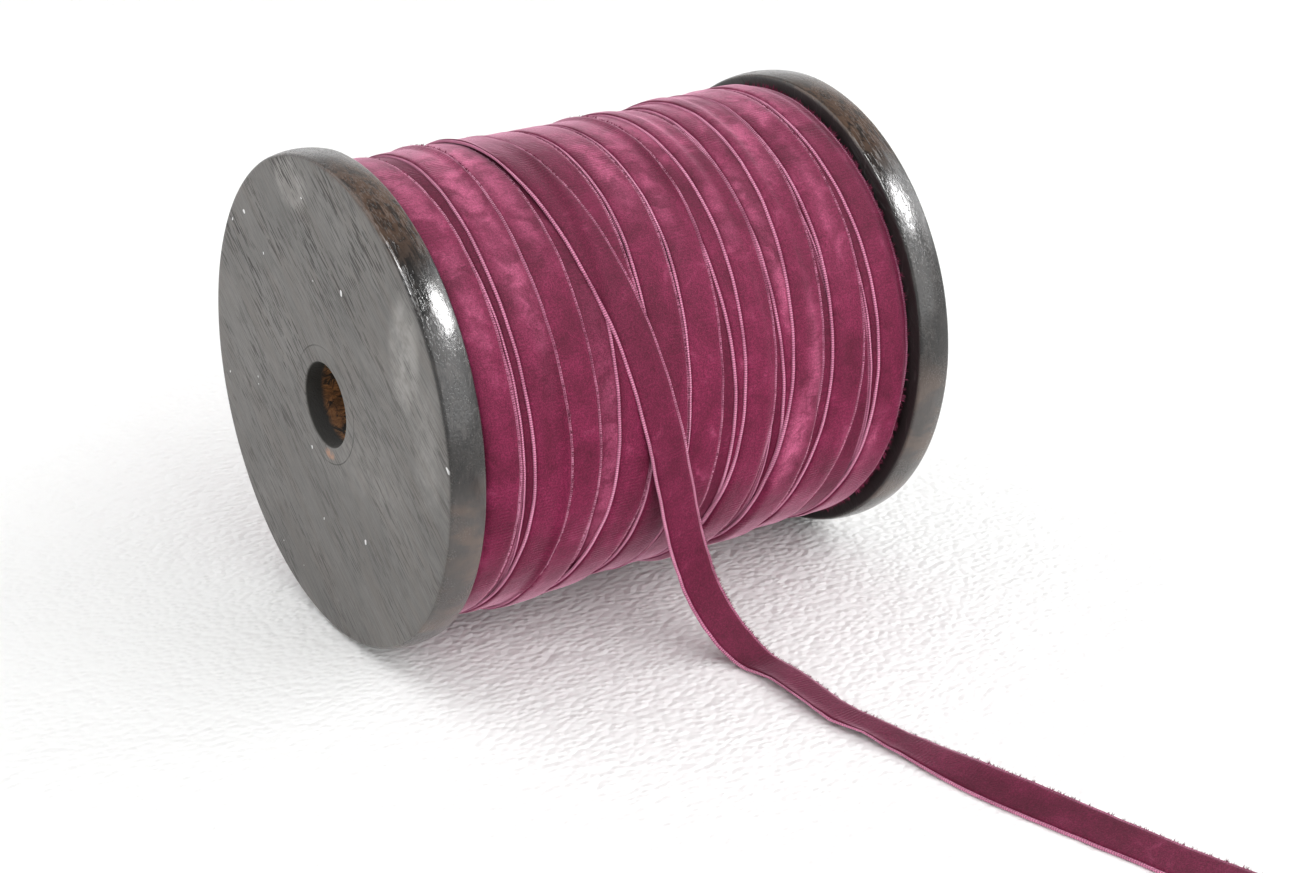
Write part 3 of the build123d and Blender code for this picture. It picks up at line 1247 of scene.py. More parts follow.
@dataclass
class Turn:
    """One turn of ribbon round the spool.

    Attributes:
        name: The piece's name, which is also that of the CAD node it stands for.
        course: Pairs of angle in degrees and axial place in millimetres of its middle, from the
            top down the front.
        seed: Number that fixes its small wobbles.
        crush: Crushed patches of pile, and paler ones on top of the turn that are painted
        sheen: angle in degrees, millimetres across from the middle, length and width in
        millimetres, and strength.
        slack: How far it hangs loose under the winding.
        fringe: Hairs of the pile per millimetre that stray over its right edge.
        hair: Length of the longest of them.
        hair_width: Their width at the root.
        upright: Share by which they stand up instead of reaching aside.
        outset: How far outside the pile's shoulder they stand.
    """

    name: str
    course: tuple
    seed: int
    crush: tuple = ()
    slack: float = 0.3 * MM
    fringe: float = 9.0
    hair: float = 0.9 * MM
    hair_width: float = 0.15 * MM
    upright: float = 0.0
    outset: float = 0.40 * MM

    FRAY_SEED: ClassVar[int] = 20
    PUFF_SEED: ClassVar[int] = 50
    HAIR_SEED: ClassVar[int] = 300
    STRIP_STEP: ClassVar[float] = 0.37

    def middles(self, angles: np.ndarray) -> np.ndarray:
        """Give the middle's course, closed round the back.

        Args:
            angles: Angles in radians.

        Returns:
            The middle's axial place at each angle.
        """
        degrees = np.degrees(angles)
        known = sorted(self.course)
        spots = np.array([angle for angle, _ in known])
        places = np.array([place for _, place in known]) * MM
        spots = np.concatenate((spots - 360, spots, spots + 360))
        places = np.tile(places, 3)
        raw = np.interp(degrees, spots, places)
        before = np.interp(degrees - 360, spots, places)
        raw = np.where(degrees > 180 + spots[len(known)], before, raw)
        smooth = soften(raw, 5.0, 0, True)
        return smooth + ripple(angles, self.seed, 0.16 * MM, (9, 13, 22, 31))

    def worn(self, angles: np.ndarray, across: np.ndarray, radius: float) -> np.ndarray:
        """Give how crushed the pile is at each point, with painted sheen on top of the turn.

        Args:
            angles: Angle of each point in radians.
            across: Metres across the ribbon of each point.
            radius: The winding's radius.

        Returns:
            A number from 0 to 1 for each point.
        """
        total = np.zeros_like(angles)
        for angle, aside, length, width, strength in self.crush:
            away = (np.degrees(angles) - angle + 180) % 360 - 180
            run = np.radians(away) * radius / (length * MM / 2)
            side = (across - aside * MM) / (width * MM / 2)
            total += strength * np.exp(-(run**2) - side**2)
        return np.clip(total, 0, 1)

    def build(self, surface: WindingSurface, material: bpy.types.Material) -> Piece:
        """Lay the turn and make its piece.

        Args:
            surface: The winding so far, which this raises.
            material: Its velvet.

        Returns:
            The piece.
        """
        section, sizes, angles = surface.section, surface.sizes, surface.angles
        middles = self.middles(angles)
        bed_top, bed_under = surface.lay(middles)
        places, heights = section.top()
        under = section.underside()
        puff = 1.0 + ripple(angles, self.seed + self.PUFF_SEED, 0.10, (11, 17, 29))
        below = np.cos((angles - 1.5 * math.pi) / 2) ** 2
        loose = self.slack * np.clip((below - 0.72) / 0.28, 0, 1)[:, None]
        offsets = np.concatenate((places, under))
        radius = np.concatenate((bed_top + heights * puff[:, None], bed_under), axis=1) + loose
        x = middles[:, None] + offsets[None, :]
        fray = ripple(angles, self.seed + self.FRAY_SEED, 0.10 * MM, (41, 57, 73, 96))
        x += np.where(offsets > 3.9 * MM, 1.0, 0.0)[None, :] * fray[:, None]
        x = np.clip(x, sizes.left_inner + 0.15 * MM, sizes.right_inner - 0.15 * MM)
        turn = angles[:, None]
        y = -radius * np.cos(turn)
        z = sizes.axis_height + radius * np.sin(turn)
        points = np.stack((x, y, z), axis=2)
        length = FULL_TURN * sizes.winding_radius
        along = (angles + math.pi) % FULL_TURN / FULL_TURN * length
        every_angle = np.repeat(angles, len(offsets))
        crush = self.worn(every_angle, np.tile(offsets, len(angles)), sizes.winding_radius)
        fringe = Fringe(
            density=self.fringe,
            seed=self.seed + self.HAIR_SEED,
            shortest=0.3 * MM,
            longest=self.hair,
            thickness=self.hair_width,
            upright=self.upright,
            outset=self.outset,
        )
        hairs = fringe.grow(points, along, section, True, sizes.right_inner - 0.05 * MM)
        strip = self.STRIP_STEP * self.seed
        return ribbon_piece(
            self.name, points, offsets, along, crush, hairs, length, material, strip
        )


# The outer turns in the order they were wound, so that each lies over those before it.
# The crushed patches on top of the turns, near 80 to 86 degrees, are painted sheen that lightens
# the tops; the others are crushed pile.
OUTER_TURNS = (
    Turn(
        name="outer_turn_03",
        course=(
            (115, -32.5), (60, -33.6), (30, -33.9), (10, -33.6), (-10, -33.5), (-30, -34.6),
            (-65, -36.5),
        ),
        seed=3,
        crush=((86, -1.0, 34, 8.0, 1.0), (60, 0.5, 24, 5.0, 0.45)),
        slack=2.4 * MM,
    ),
    Turn(
        name="outer_turn_01",
        course=((115, -54.9), (70, -55.0), (25, -55.5), (-5, -54.6), (-30, -55.2), (-65, -56.0)),
        seed=1,
        crush=((41, 0.5, 30, 4.5, 0.5), (80, 0.0, 36, 7.0, 0.75)),
        slack=0.4 * MM,
        fringe=4.0,
    ),
    Turn(
        name="outer_turn_04",
        course=(
            (115, -14.4), (80, -15.2), (55, -16.3), (30, -18.2), (5, -19.0), (-20, -19.8),
            (-40, -23.0), (-65, -26.5),
        ),
        seed=4,
        slack=1.7 * MM,
    ),
    Turn(
        name="outer_turn_07",
        course=((115, 13.2), (85, 13.4), (35, 13.0), (10, 13.7), (-20, 12.9), (-65, 10.5)),
        seed=7,
        crush=((82, 0.0, 26, 6.0, 0.6),),
        slack=0.5 * MM,
    ),
    Turn(
        name="outer_turn_05",
        course=(
            (115, -4.8), (80, -4.9), (55, -5.7), (30, -7.9), (5, -9.4), (-30, -10.3),
            (-65, -11.5),
        ),
        seed=5,
        crush=((68, 0.5, 24, 6.0, 0.65), (84, 0.0, 22, 6.0, 0.5)),
        slack=0.2 * MM,
    ),
    Turn(
        name="outer_turn_06",
        course=(
            (115, 5.2), (80, 5.0), (55, 4.4), (37, 2.9), (18, 1.2), (0, 0.1), (-30, -0.9),
            (-65, -2.5),
        ),
        seed=6,
        crush=((60, -1.5, 24, 5.0, 0.45), (84, 0.0, 24, 6.0, 0.6)),
        slack=0.2 * MM,
    ),
    Turn(
        name="outer_turn_09",
        course=(
            (115, 32.2), (87, 29.5), (60, 27.9), (25, 27.3), (0, 27.6), (-30, 27.2), (-65, 26.0),
        ),
        seed=9,
        crush=(
            (51, -2.5, 22, 4.5, 0.6), (27, -1.5, 20, 3.5, 0.65), (82, 1.0, 22, 6.0, 0.7),
            (-12, 0.5, 30, 4.0, 0.5),
        ),
        slack=0.3 * MM,
    ),
    Turn(
        name="outer_turn_12",
        course=(
            (115, 55.9), (60, 55.2), (35, 56.1), (5, 55.9), (-12, 55.2), (-30, 54.2), (-65, 53.0),
        ),
        seed=12,
        crush=((84, -4.0, 30, 5.0, 0.7), (-20, -3.0, 14, 3.5, 0.45)),
        slack=0.1 * MM,
        fringe=14.0,
        hair=1.9 * MM,
        hair_width=0.32 * MM,
        upright=0.9,
        outset=0.66 * MM,
    ),
    Turn(
        name="outer_turn_11",
        course=(
            (115, 45.6), (70, 44.7), (40, 44.1), (12, 42.4), (-5, 40.9), (-22, 38.4), (-65, 36.5),
        ),
        seed=11,
        crush=((84, 1.0, 24, 6.0, 0.75), (48, 0.5, 30, 5.0, 0.4)),
        slack=0.3 * MM,
    ),
    Turn(
        name="outer_turn_02",
        course=(
            (115, -40.2), (85, -41.4), (60, -42.8), (38, -43.2), (10, -42.2), (-12, -41.2),
            (-30, -42.7), (-65, -46.0),
        ),
        seed=2,
        crush=((52, 0.5, 36, 6.0, 0.6), (82, 0.0, 34, 8.0, 1.0), (38, 2.0, 26, 3.0, 0.35)),
        slack=0.9 * MM,
    ),
    Turn(
        name="outer_turn_08",
        course=(
            (115, 19.4), (85, 18.9), (55, 18.3), (30, 17.3), (10, 16.1), (-12, 14.6), (-30, 12.2),
            (-65, 8.0),
        ),
        seed=8,
        crush=((80, 0.0, 26, 6.0, 0.7), (50, -2.0, 20, 4.0, 0.35)),
        slack=1.0 * MM,
    ),
    Turn(
        name="outer_turn_10",
        course=(
            (115, 36.4), (75, 35.3), (50, 33.6), (30, 31.8), (10, 30.2), (-8, 27.9), (-30, 25.8),
            (-65, 24.5),
        ),
        seed=10,
        crush=((-12, -1.0, 22, 5.5, 0.95), (72, 0.5, 26, 7.0, 0.85), (10, 1.5, 30, 4.0, 0.45)),
        slack=0.6 * MM,
    ),
)


@dataclass
class UnderLayer:
    """The layer of ribbon that shows in the gaps between the outer turns, on the inner drum.

    Attributes:
        name: Beginning of its turns' names.
        pitch: Distance between its turns.
        drift: How far each turn wanders along the axis on its way round.
        pale_place: Axial place in millimetres of the one turn that is crushed where it shows.
        pale: Its crushed patches, as in Turn.
    """

    name: str = "under"
    pitch: float = 9.4 * MM
    drift: float = 2.2 * MM
    pale_place: float = -27.0
    pale: tuple = ((0, 0.0, 60, 9.0, 0.30), (-25, 0.0, 40, 9.0, 0.30))

    FIRST_SEED: ClassVar[int] = 100

    def build(self, surface: WindingSurface, material: bpy.types.Material) -> list[Piece]:
        """Lay the layer's turns side by side.

        Args:
            surface: The winding, which this raises.
            material: Its velvet.

        Returns:
            The pieces to join.
        """
        sizes = surface.sizes
        width = surface.section.width
        room = sizes.right_inner - sizes.left_inner - width - 2 * self.drift
        count = int(room / self.pitch) + 1
        parts = []
        for number in range(count):
            start = sizes.left_inner + width / 2 + self.drift + room * number / (count - 1)
            sway = ((90, -self.drift), (270, self.drift), (0, 0.0), (180, 0.0))
            course = tuple((angle, (start + aside) / MM) for angle, aside in sway)
            shows = self.pale if abs(start / MM - self.pale_place) < self.pitch / MM / 2 else ()
            name = f"{self.name}_{number:02d}"
            strip = Turn(name, course, self.FIRST_SEED + number, shows, fringe=0.0)
            parts.append(strip.build(surface, material))
        return parts


@dataclass
class Drum:
    """The inner windings, seen only in the deepest gaps and at the flanges, dark with painted
    shade.

    Attributes:
        name: The piece's name.
        layers: Layers of ribbon that its ends are ribbed for.
        ribbing: Depth of that ribbing.
        clearance: Gap to the core and to the flanges.
    """

    name: str = "ribbon_pack_drum"
    layers: int = 12
    ribbing: float = 0.25 * MM
    clearance: float = 0.3 * MM

    STEPS: ClassVar[int] = 180

    def build(self, sizes: SpoolSizes, material: bpy.types.Material) -> Piece:
        """Spin the drum's outline about the spool's axis.

        Args:
            sizes: The spool's sizes.
            material: Its velvet.

        Returns:
            The piece.
        """
        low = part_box("core_barrel")
        inner = (low[1].z - low[0].z) / 2 + self.clearance
        left = sizes.left_inner + self.clearance
        right = sizes.right_inner - self.clearance
        steps = np.linspace(inner, sizes.pack_radius, self.layers + 1)
        ribs = [(number % 2 * self.ribbing, reach) for number, reach in enumerate(steps)]
        outline = [(left + rib, reach) for rib, reach in ribs]
        outline += [(right - rib, reach) for rib, reach in reversed(ribs)]
        work = spin_outline(outline, sizes.axis_height, self.STEPS)
        piece = show(mesh_from(work, self.name), material)
        places = np.array([vertex.co for vertex in piece.data.vertices])
        angles = np.arctan2(places[:, 2] - sizes.axis_height, -places[:, 1]) % FULL_TURN
        pile_only = np.clip(places[:, 0] * 0.03, -4 * MM, 4 * MM)
        length = FULL_TURN * sizes.pack_radius
        map_ribbon(piece, angles * sizes.pack_radius, pile_only, length, np.zeros(len(places)))
        return piece


@dataclass
class LastTurn:
    """The turn that crosses over the others and runs out into the free end.

    Attributes:
        name: The piece's name.
        course: Angle in degrees and axial place in millimetres of its middle, from the exit over
            the top and down the back.
        raised: Angle in degrees and millimetres by which its left edge stands off the turns below.
        exit_angle: Angle in degrees where it leaves the winding.
        end_angle: Angle in degrees where it goes under the others.
        seed: Number that fixes its small wobbles.
        rows: Rows of points along it.
        settle: Angle in degrees over which it comes down from the exit onto the winding.
    """

    name: str = "last_turn"
    course: tuple = (
        (-6, -10.9), (0, -12.6), (12, -14.9), (27, -17.6), (40, -19.6), (52, -21.1), (65, -22.6),
        (80, -23.8), (100, -24.4), (130, -23.0), (160, -19.5), (190, -15.0), (220, -11.0),
        (262, -8.0),
    )
    raised: tuple = ((30, 0.0), (52, 0.35), (68, 1.0), (82, 0.9), (100, 0.45), (140, 0.0))
    exit_angle: float = -4.2
    end_angle: float = 258.0
    seed: int = 70
    rows: int = 190
    settle: float = 30.0

    def middles(self, degrees: np.ndarray, start: Vector) -> np.ndarray:
        """Give the middle's course, which begins where the free end does.

        Args:
            degrees: Angle of each row.
            start: Middle of the ribbon's thickness where the free end begins.

        Returns:
            The middle's axial place at each row.
        """
        spots, places = zip(*self.course)
        middles = soften(np.interp(degrees, spots, np.array(places) * MM), 3.0, 0, False)
        calm = np.clip((degrees - self.exit_angle) / 14.0, 0, 1)
        middles += calm * ripple(np.radians(degrees), self.seed, 0.14 * MM, (8, 15, 27))
        return middles + (1 - calm) ** 2 * (start.x - middles[0])

    def build(self, surface: WindingSurface, start: Vector, material: bpy.types.Material) -> Piece:
        """Lay the turn from the exit backwards over the top.

        Args:
            surface: The winding with every outer turn on it.
            start: Middle of the ribbon's thickness where the free end begins.
            material: Its velvet.

        Returns:
            The piece.
        """
        sizes, section = surface.sizes, surface.section
        degrees = np.linspace(self.exit_angle, self.end_angle, self.rows)
        turned = np.radians(degrees)
        middles = self.middles(degrees, start)
        bed = surface.bed()
        exit_radius = math.hypot(start.y, start.z - sizes.axis_height) - section.thickness / 2
        tilt = np.arctan(np.gradient(middles, turned * sizes.winding_radius))
        top_places, heights = section.top()
        under = section.underside()
        offsets = np.concatenate((top_places, under))
        lifts = np.concatenate((heights, np.zeros(len(under))))
        exact = turned % FULL_TURN / FULL_TURN * surface.ROWS
        raised = np.interp(degrees, *zip(*self.raised)) * MM
        free = (1 - np.clip((degrees - self.exit_angle) / self.settle, 0, 1)) ** 2
        points = []
        for number, (middle, lean) in enumerate(zip(middles, tilt)):
            x = middle + offsets * math.cos(lean)
            angle = turned[number] - offsets * math.sin(lean) / sizes.winding_radius
            below = int(exact[number]) % surface.ROWS
            share = exact[number] - int(exact[number])
            profile = (1 - share) * bed[below] + share * bed[(below + 1) % surface.ROWS]
            rest = np.interp(x, surface.places, profile)
            rest += raised[number] * np.clip(0.75 - offsets / section.width, 0.0, 1.0)
            rest = (1 - free[number]) * rest + free[number] * exit_radius
            radius = rest + lifts
            y = -radius * np.cos(angle)
            z = sizes.axis_height + radius * np.sin(angle)
            points.append(np.column_stack((x, y, z)))
        points = np.array(points)
        steps = np.hypot(np.diff(middles), np.diff(turned) * sizes.winding_radius)
        along = EXIT_MARK - np.concatenate(([0.0], np.cumsum(steps)))
        fringe = Fringe(10.0, self.seed + 1, 0.35 * MM, 1.0 * MM)
        hairs = fringe.grow(points, along, section, False, sizes.right_inner)
        crush = np.zeros(self.rows * len(offsets))
        return ribbon_piece(
            self.name, points, offsets, along, crush, hairs, 0.0, material, FRESH_STRIP
        )


@dataclass
class FreeEnd:
    """The ribbon's free end: it hangs off the front, bends onto the table and runs out of view.

    Attributes:
        name: The piece's name.
        route: Points that its middle is drawn to, from the exit to the cut end.
        roll: Pairs of distance to the front and angle in degrees by which the ribbon leans, its
            far edge raised and its near edge on the table.
        shift: Pairs of distance to the front and how far the lying ribbon has slid to the left.
        curl: Pairs of distance to the front and how far the near edge curls up.
        wander: Size of its edges' sideways wobble.
        seed: Number that fixes the wobble.
    """

    name: str = "ribbon_tail"
    route: tuple = (
        (-0.0113, -0.0565, 0.0560),
        (-0.0076, -0.0556, 0.0405),
        (-0.0030, -0.0548, 0.0235),
        (0.0010, -0.0582, 0.0108),
        (0.0060, -0.0670, 0.0006),
        (0.0079, -0.0800, 0.0006),
        (0.0066, -0.0970, 0.0006),
        (0.0110, -0.1160, 0.0006),
        (0.0150, -0.1360, 0.0006),
        (0.0202, -0.1560, 0.0006),
        (0.0256, -0.1750, 0.0006),
        (0.0309, -0.1940, 0.0006),
        (0.0373, -0.2120, 0.0006),
    )
    roll: tuple = (
        (0.050, 0.0), (0.066, 0.0), (0.078, -3.0), (0.098, -4.0), (0.110, -3.0), (0.124, 3.0),
        (0.138, 14.0), (0.150, 18.0), (0.165, 15.0), (0.180, 12.0), (0.215, 12.0),
    )
    shift: tuple = (
        (0.050, 0.0), (0.120, 0.0), (0.145, 1.8 * MM), (0.180, 1.0 * MM), (0.215, 0.6 * MM),
    )
    curl: tuple = (
        (0.050, 0.0), (0.068, 0.0), (0.080, 0.9 * MM), (0.094, 1.2 * MM), (0.101, 0.5 * MM),
        (0.110, 1.3 * MM), (0.122, 0.8 * MM), (0.136, 0.2 * MM), (0.215, 0.1 * MM),
    )
    wander: float = 0.18 * MM
    seed: int = 81

    def line(self) -> list[Vector]:
        """Read the smooth line that the route draws.

        Returns:
            Points about a millimetre apart.
        """
        curve = bpy.data.curves.new("tail_route", "CURVE")
        curve.dimensions = "3D"
        spline = curve.splines.new("NURBS")
        spline.points.add(len(self.route) - 1)
        for point, place in zip(spline.points, self.route):
            point.co = (*place, 1.0)
        spline.order_u = 3
        spline.use_endpoint_u = True
        spline.resolution_u = 24
        holder = bpy.data.objects.new("tail_route", curve)
        bpy.context.scene.collection.objects.link(holder)
        bpy.context.view_layer.update()
        evaluated = holder.evaluated_get(bpy.context.evaluated_depsgraph_get())
        mesh = bpy.data.meshes.new_from_object(evaluated)
        points = [vertex.co.copy() for vertex in mesh.vertices]
        bpy.data.objects.remove(holder)
        bpy.data.meshes.remove(mesh)
        return points

    def along_floor(self, table: tuple, middle: Vector) -> float:
        """Read one of the tables at a point's distance to the front."""
        spots, values = zip(*table)
        return float(np.interp(-middle.y, spots, values))

    def row(
        self, middle: Vector, run: Vector, aside: float, shape: np.ndarray, full: float
    ) -> list[tuple[float, ...]]:
        """Give the ribbon's cross-section at one point of the line.

        Args:
            middle: The point.
            run: The line's direction there.
            aside: How far the ribbon has wandered sideways there.
            shape: Rows of metres across the ribbon and height from its middle.
            full: The ribbon's width.

        Returns:
            The section's points.
        """
        width = (Vector((1, 0, 0)) - run * run.x).normalized()
        out = run.cross(width)
        lean = math.radians(self.along_floor(self.roll, middle))
        curl = self.along_floor(self.curl, middle)
        tilted = width * math.cos(lean) + out * math.sin(lean)
        above = out * math.cos(lean) - width * math.sin(lean)
        lift = abs(math.sin(lean)) * full / 2
        here = middle + out * lift - width * (self.along_floor(self.shift, middle) - aside)
        ring = []
        for offset, height in shape:
            bend = curl * (max(0.0, -offset / full - 0.12) / 0.38) ** 2
            ring.append(tuple(here + tilted * (offset + 0.35 * bend) + above * (height + bend)))
        return ring

    def build(self, section: RibbonSection, material: bpy.types.Material) -> Piece:
        """Args:
            section: The ribbon's cross-section.
            material: Its velvet.

        Returns:
            The piece.
        """
        points = self.line()
        count = len(points)
        top_places, heights = section.top()
        under = section.underside()
        offsets = np.concatenate((top_places, under))
        lifts = np.concatenate((heights, np.zeros(len(under)))) - section.thickness / 2
        shape = np.column_stack((offsets, lifts))
        wander = ripple(np.linspace(0, FULL_TURN, count), self.seed, self.wander, (7, 12, 19, 28))
        rows, along = [], []
        travelled = 0.0
        for number, middle in enumerate(points):
            if number:
                travelled += (middle - points[number - 1]).length
            run = (points[min(number + 1, count - 1)] - points[max(number - 1, 0)]).normalized()
            rows.append(self.row(middle, run, wander[number], shape, section.width))
            along.append(EXIT_MARK + travelled)
        rows = np.array(rows)
        rows[:, :, 2] = np.maximum(rows[:, :, 2], 0.05 * MM)
        along = np.array(along)
        fringe = Fringe(16.0, self.seed + 1, 0.4 * MM, 1.2 * MM, 0.17 * MM, outset=0.60 * MM)
        hairs = fringe.grow(rows, along, section, False, 1.0)
        crush = np.zeros(count * len(offsets))
        piece = ribbon_piece(
            self.name, rows, offsets, along, crush, hairs, 0.0, material, FRESH_STRIP
        )
        return piece


# ---------------------------------------------------------------- the wood
@dataclass
class Flange:
    """A turned flange: flat faces, a gently crowned rim, broken edges and a hole for the tenon.

    Attributes:
        name: The piece's name, which is also that of the CAD node it stands for.
        side: -1 for left, +1 for right.
        seed: Number that fixes the slight unevenness of the hand finish.
        crown: How far the rim's middle stands out from its edges.
        edge_break: Size of the broken edges.
        hole_gap: Gap between the core's tenon and the hole.
        sharp: Angle in degrees above which an edge is shaded sharp.
    """

    name: str
    side: int
    seed: int
    crown: float = 0.45 * MM
    edge_break: float = 1.0 * MM
    hole_gap: float = 0.05 * MM
    sharp: float = 38.0

    STEPS: ClassVar[int] = 256
    RIM_STEPS: ClassVar[int] = 10
    CORNER_STEPS: ClassVar[int] = 4

    def outline(self, sizes: SpoolSizes) -> list[tuple[float, float]]:
        """Give the section's outline, in order from the hole round the rim and back.

        Args:
            sizes: The spool's sizes.

        Returns:
            Pairs of distance out from the inner face and radius.
        """
        depth = sizes.half_length - abs(sizes.left_inner)
        full = sizes.flange_radius
        hole = sizes.tenon_radius + self.hole_gap
        base = full - self.crown
        face = (hole, hole + 8 * MM, full - 14 * MM, full - 5 * MM, base - 1.6 * MM)
        points = [(0.0, radius) for radius in face]
        points += self.corner(0.0, base, 1)
        for step in range(1, self.RIM_STEPS):
            share = step / self.RIM_STEPS
            across = self.edge_break + (depth - 2 * self.edge_break) * share
            points.append((across, base + self.crown * math.sin(math.pi * share) ** 0.8))
        points += self.corner(depth, base, -1)
        return points + [(depth, radius) for radius in reversed(face)]

    def corner(self, face: float, base: float, way: int) -> list[tuple[float, float]]:
        """Give the rounded edge between a face and the rim.

        Args:
            face: The face's distance out from the inner face.
            base: Radius at the rim's edges.
            way: 1 for the inner face and -1 for the outer one.

        Returns:
            Its points, in the outline's order.
        """
        points = []
        for step in range(self.CORNER_STEPS + 1):
            angle = math.pi / 2 * step / self.CORNER_STEPS
            across = face + way * self.edge_break * (1 - math.cos(angle))
            points.append((across, base - self.edge_break * (1 - math.sin(angle))))
        return points[::way]

    def build(self, sizes: SpoolSizes, material: bpy.types.Material) -> Piece:
        """Spin the outline about the axis and work the rim by hand.

        Args:
            sizes: The spool's sizes.
            material: Its stained wood.

        Returns:
            The piece.
        """
        inner_face = self.side * abs(sizes.left_inner)
        outline = [(inner_face + self.side * out, radius) for out, radius in self.outline(sizes)]
        work = spin_outline(outline, sizes.axis_height, self.STEPS)
        for vert in work.verts:
            offset = vert.co - Vector((vert.co.x, 0, sizes.axis_height))
            near_rim = max(0.0, min(1.0, 10 * offset.length / sizes.flange_radius - 9))
            angle = math.atan2(offset.z, -offset.y)
            wave = self.hand_wave(angle, vert.co.x - inner_face)
            vert.co -= offset.normalized() * (near_rim * wave)
        return show(mesh_from(work, self.name), material, self.sharp)

    def hand_wave(self, angle: float, out: float) -> float:
        """Give how far the worked rim falls inside the true circle.

        Args:
            angle: Angle round the spool in radians.
            out: Distance out from the inner face.

        Returns:
            The distance in metres.
        """
        slow = 0.5 + 0.5 * math.sin(5 * angle + self.seed)
        quick = 0.5 + 0.5 * math.sin(17 * angle + 900 * out + 2.3 * self.seed)
        return 0.10 * MM * slow + 0.035 * MM * quick


# ---------------------------------------------------------------- stage
@dataclass(frozen=True)
class StudioView:
    """The camera: a short telephoto from the front left, a little above.

    Attributes:
        azimuth: Angle round the spool from the front, negative to the left.
        elevation: Angle above the table.
        distance: Distance from the spool's middle.
        pan: Turn of the camera to the right of the spool's middle.
        tilt: Turn of the camera below it.
        lens: Focal length in millimetres.
        sensor: Width of the sensor in millimetres.
    """

    azimuth: float = math.radians(-32.43)
    elevation: float = math.radians(21.48)
    distance: float = 0.6028
    pan: float = math.radians(1.82)
    tilt: float = math.radians(2.15)
    lens: float = 66.14
    sensor: float = 36.0

    def build(self, sizes: SpoolSizes) -> None:
        """Place the camera and make it the scene's.

        Args:
            sizes: The spool's sizes, which give its middle.
        """
        back = Vector(
            (
                math.sin(self.azimuth) * math.cos(self.elevation),
                -math.cos(self.azimuth) * math.cos(self.elevation),
                math.sin(self.elevation),
            )
        )
        ahead = -back
        right = ahead.cross(Vector((0, 0, 1))).normalized()
        up = right.cross(ahead)
        side = math.cos(self.pan) * right - math.sin(self.pan) * ahead
        level = math.sin(self.pan) * right + math.cos(self.pan) * ahead
        over = math.cos(self.tilt) * up + math.sin(self.tilt) * level
        front = math.cos(self.tilt) * level - math.sin(self.tilt) * up
        data = bpy.data.cameras.new("camera")
        data.lens = self.lens
        data.sensor_width = self.sensor
        data.clip_start = 0.01
        data.clip_end = 60.0
        camera = bpy.data.objects.new("camera", data)
        bpy.context.scene.collection.objects.link(camera)
        camera.matrix_world = Matrix((
            (side.x, over.x, -front.x, back.x * self.distance),
            (side.y, over.y, -front.y, back.y * self.distance),
            (side.z, over.z, -front.z, back.z * self.distance + sizes.axis_height),
            (0, 0, 0, 1),
        ))
        bpy.context.scene.camera = camera


@dataclass(frozen=True)
class SoftBox:
    """One square lamp that faces the spool.

    Attributes:
        name: Its name.
        toward: Direction from the spool to the lamp.
        distance: Distance from the spool.
        size: Side of the lamp.
        power: Power in watts.
        gloss_only: True for a lamp that only draws highlights.
    """

    name: str
    toward: tuple
    distance: float
    size: float
    power: float
    gloss_only: bool = False

    def build(self, sizes: SpoolSizes) -> None:
        """Hang the lamp.

        Args:
            sizes: The spool's sizes, which give its middle.
        """
        data = bpy.data.lights.new(self.name, "AREA")
        data.shape = "SQUARE"
        data.size = self.size
        data.energy = self.power
        lamp = bpy.data.objects.new(self.name, data)
        bpy.context.scene.collection.objects.link(lamp)
        way = Vector(self.toward).normalized()
        lamp.location = Vector((0, 0, sizes.axis_height)) + way * self.distance
        lamp.visible_diffuse = not self.gloss_only
        lamp.rotation_mode = "QUATERNION"
        lamp.rotation_quaternion = way.to_track_quat("Z", "Y")


@dataclass(frozen=True)
class Table:
    """The pale table under the spool, with a faint pressed texture.

    Attributes:
        side: Length of each of its sides.
        colour: Its colour.
        pebble: Size of the texture's cells.
        depth: Depth that the texture shows.
    """

    side: float = 9.0
    colour: Colour = (0.92, 0.92, 0.915)
    pebble: float = 2.1 * MM
    depth: float = 0.9 * MM

    def build(self) -> None:
        """Lay the table at z = 0."""
        work = bmesh.new()
        bmesh.ops.create_grid(work, x_segments=2, y_segments=2, size=self.side / 2)
        mesh = mesh_from(work, "table")
        n = Nodes("table_pale")
        place = n.object_place()
        swell = n.noise(place, 45.0, 3.0, 0.5)
        warped = n.place(place, scale=(1.0, 1.25, 1.0), turn=(0, 0, 0.5))
        cell = n.tree.nodes.new("ShaderNodeTexVoronoi")
        cell.feature = "SMOOTH_F1"
        cell.inputs["Scale"].default_value = 1.0 / self.pebble
        cell.inputs["Smoothness"].default_value = 0.6
        n.put(cell.inputs["Vector"], warped)
        uneven = n.times_plus(n.noise(place, 170.0, 2.0), -1.4, -0.2)
        pebbles = n.times(cell.outputs["Distance"], uneven)
        height = n.times_plus(swell, 0.5, pebbles)
        n.set(
            Base_Color=self.colour,
            Roughness=0.75,
            Specular_IOR_Level=0.3,
            Normal=n.bump(height, self.depth, 0.5),
        )
        mesh.materials.append(n.material)
        table = bpy.data.objects.new("table", mesh)
        bpy.context.scene.collection.objects.link(table)


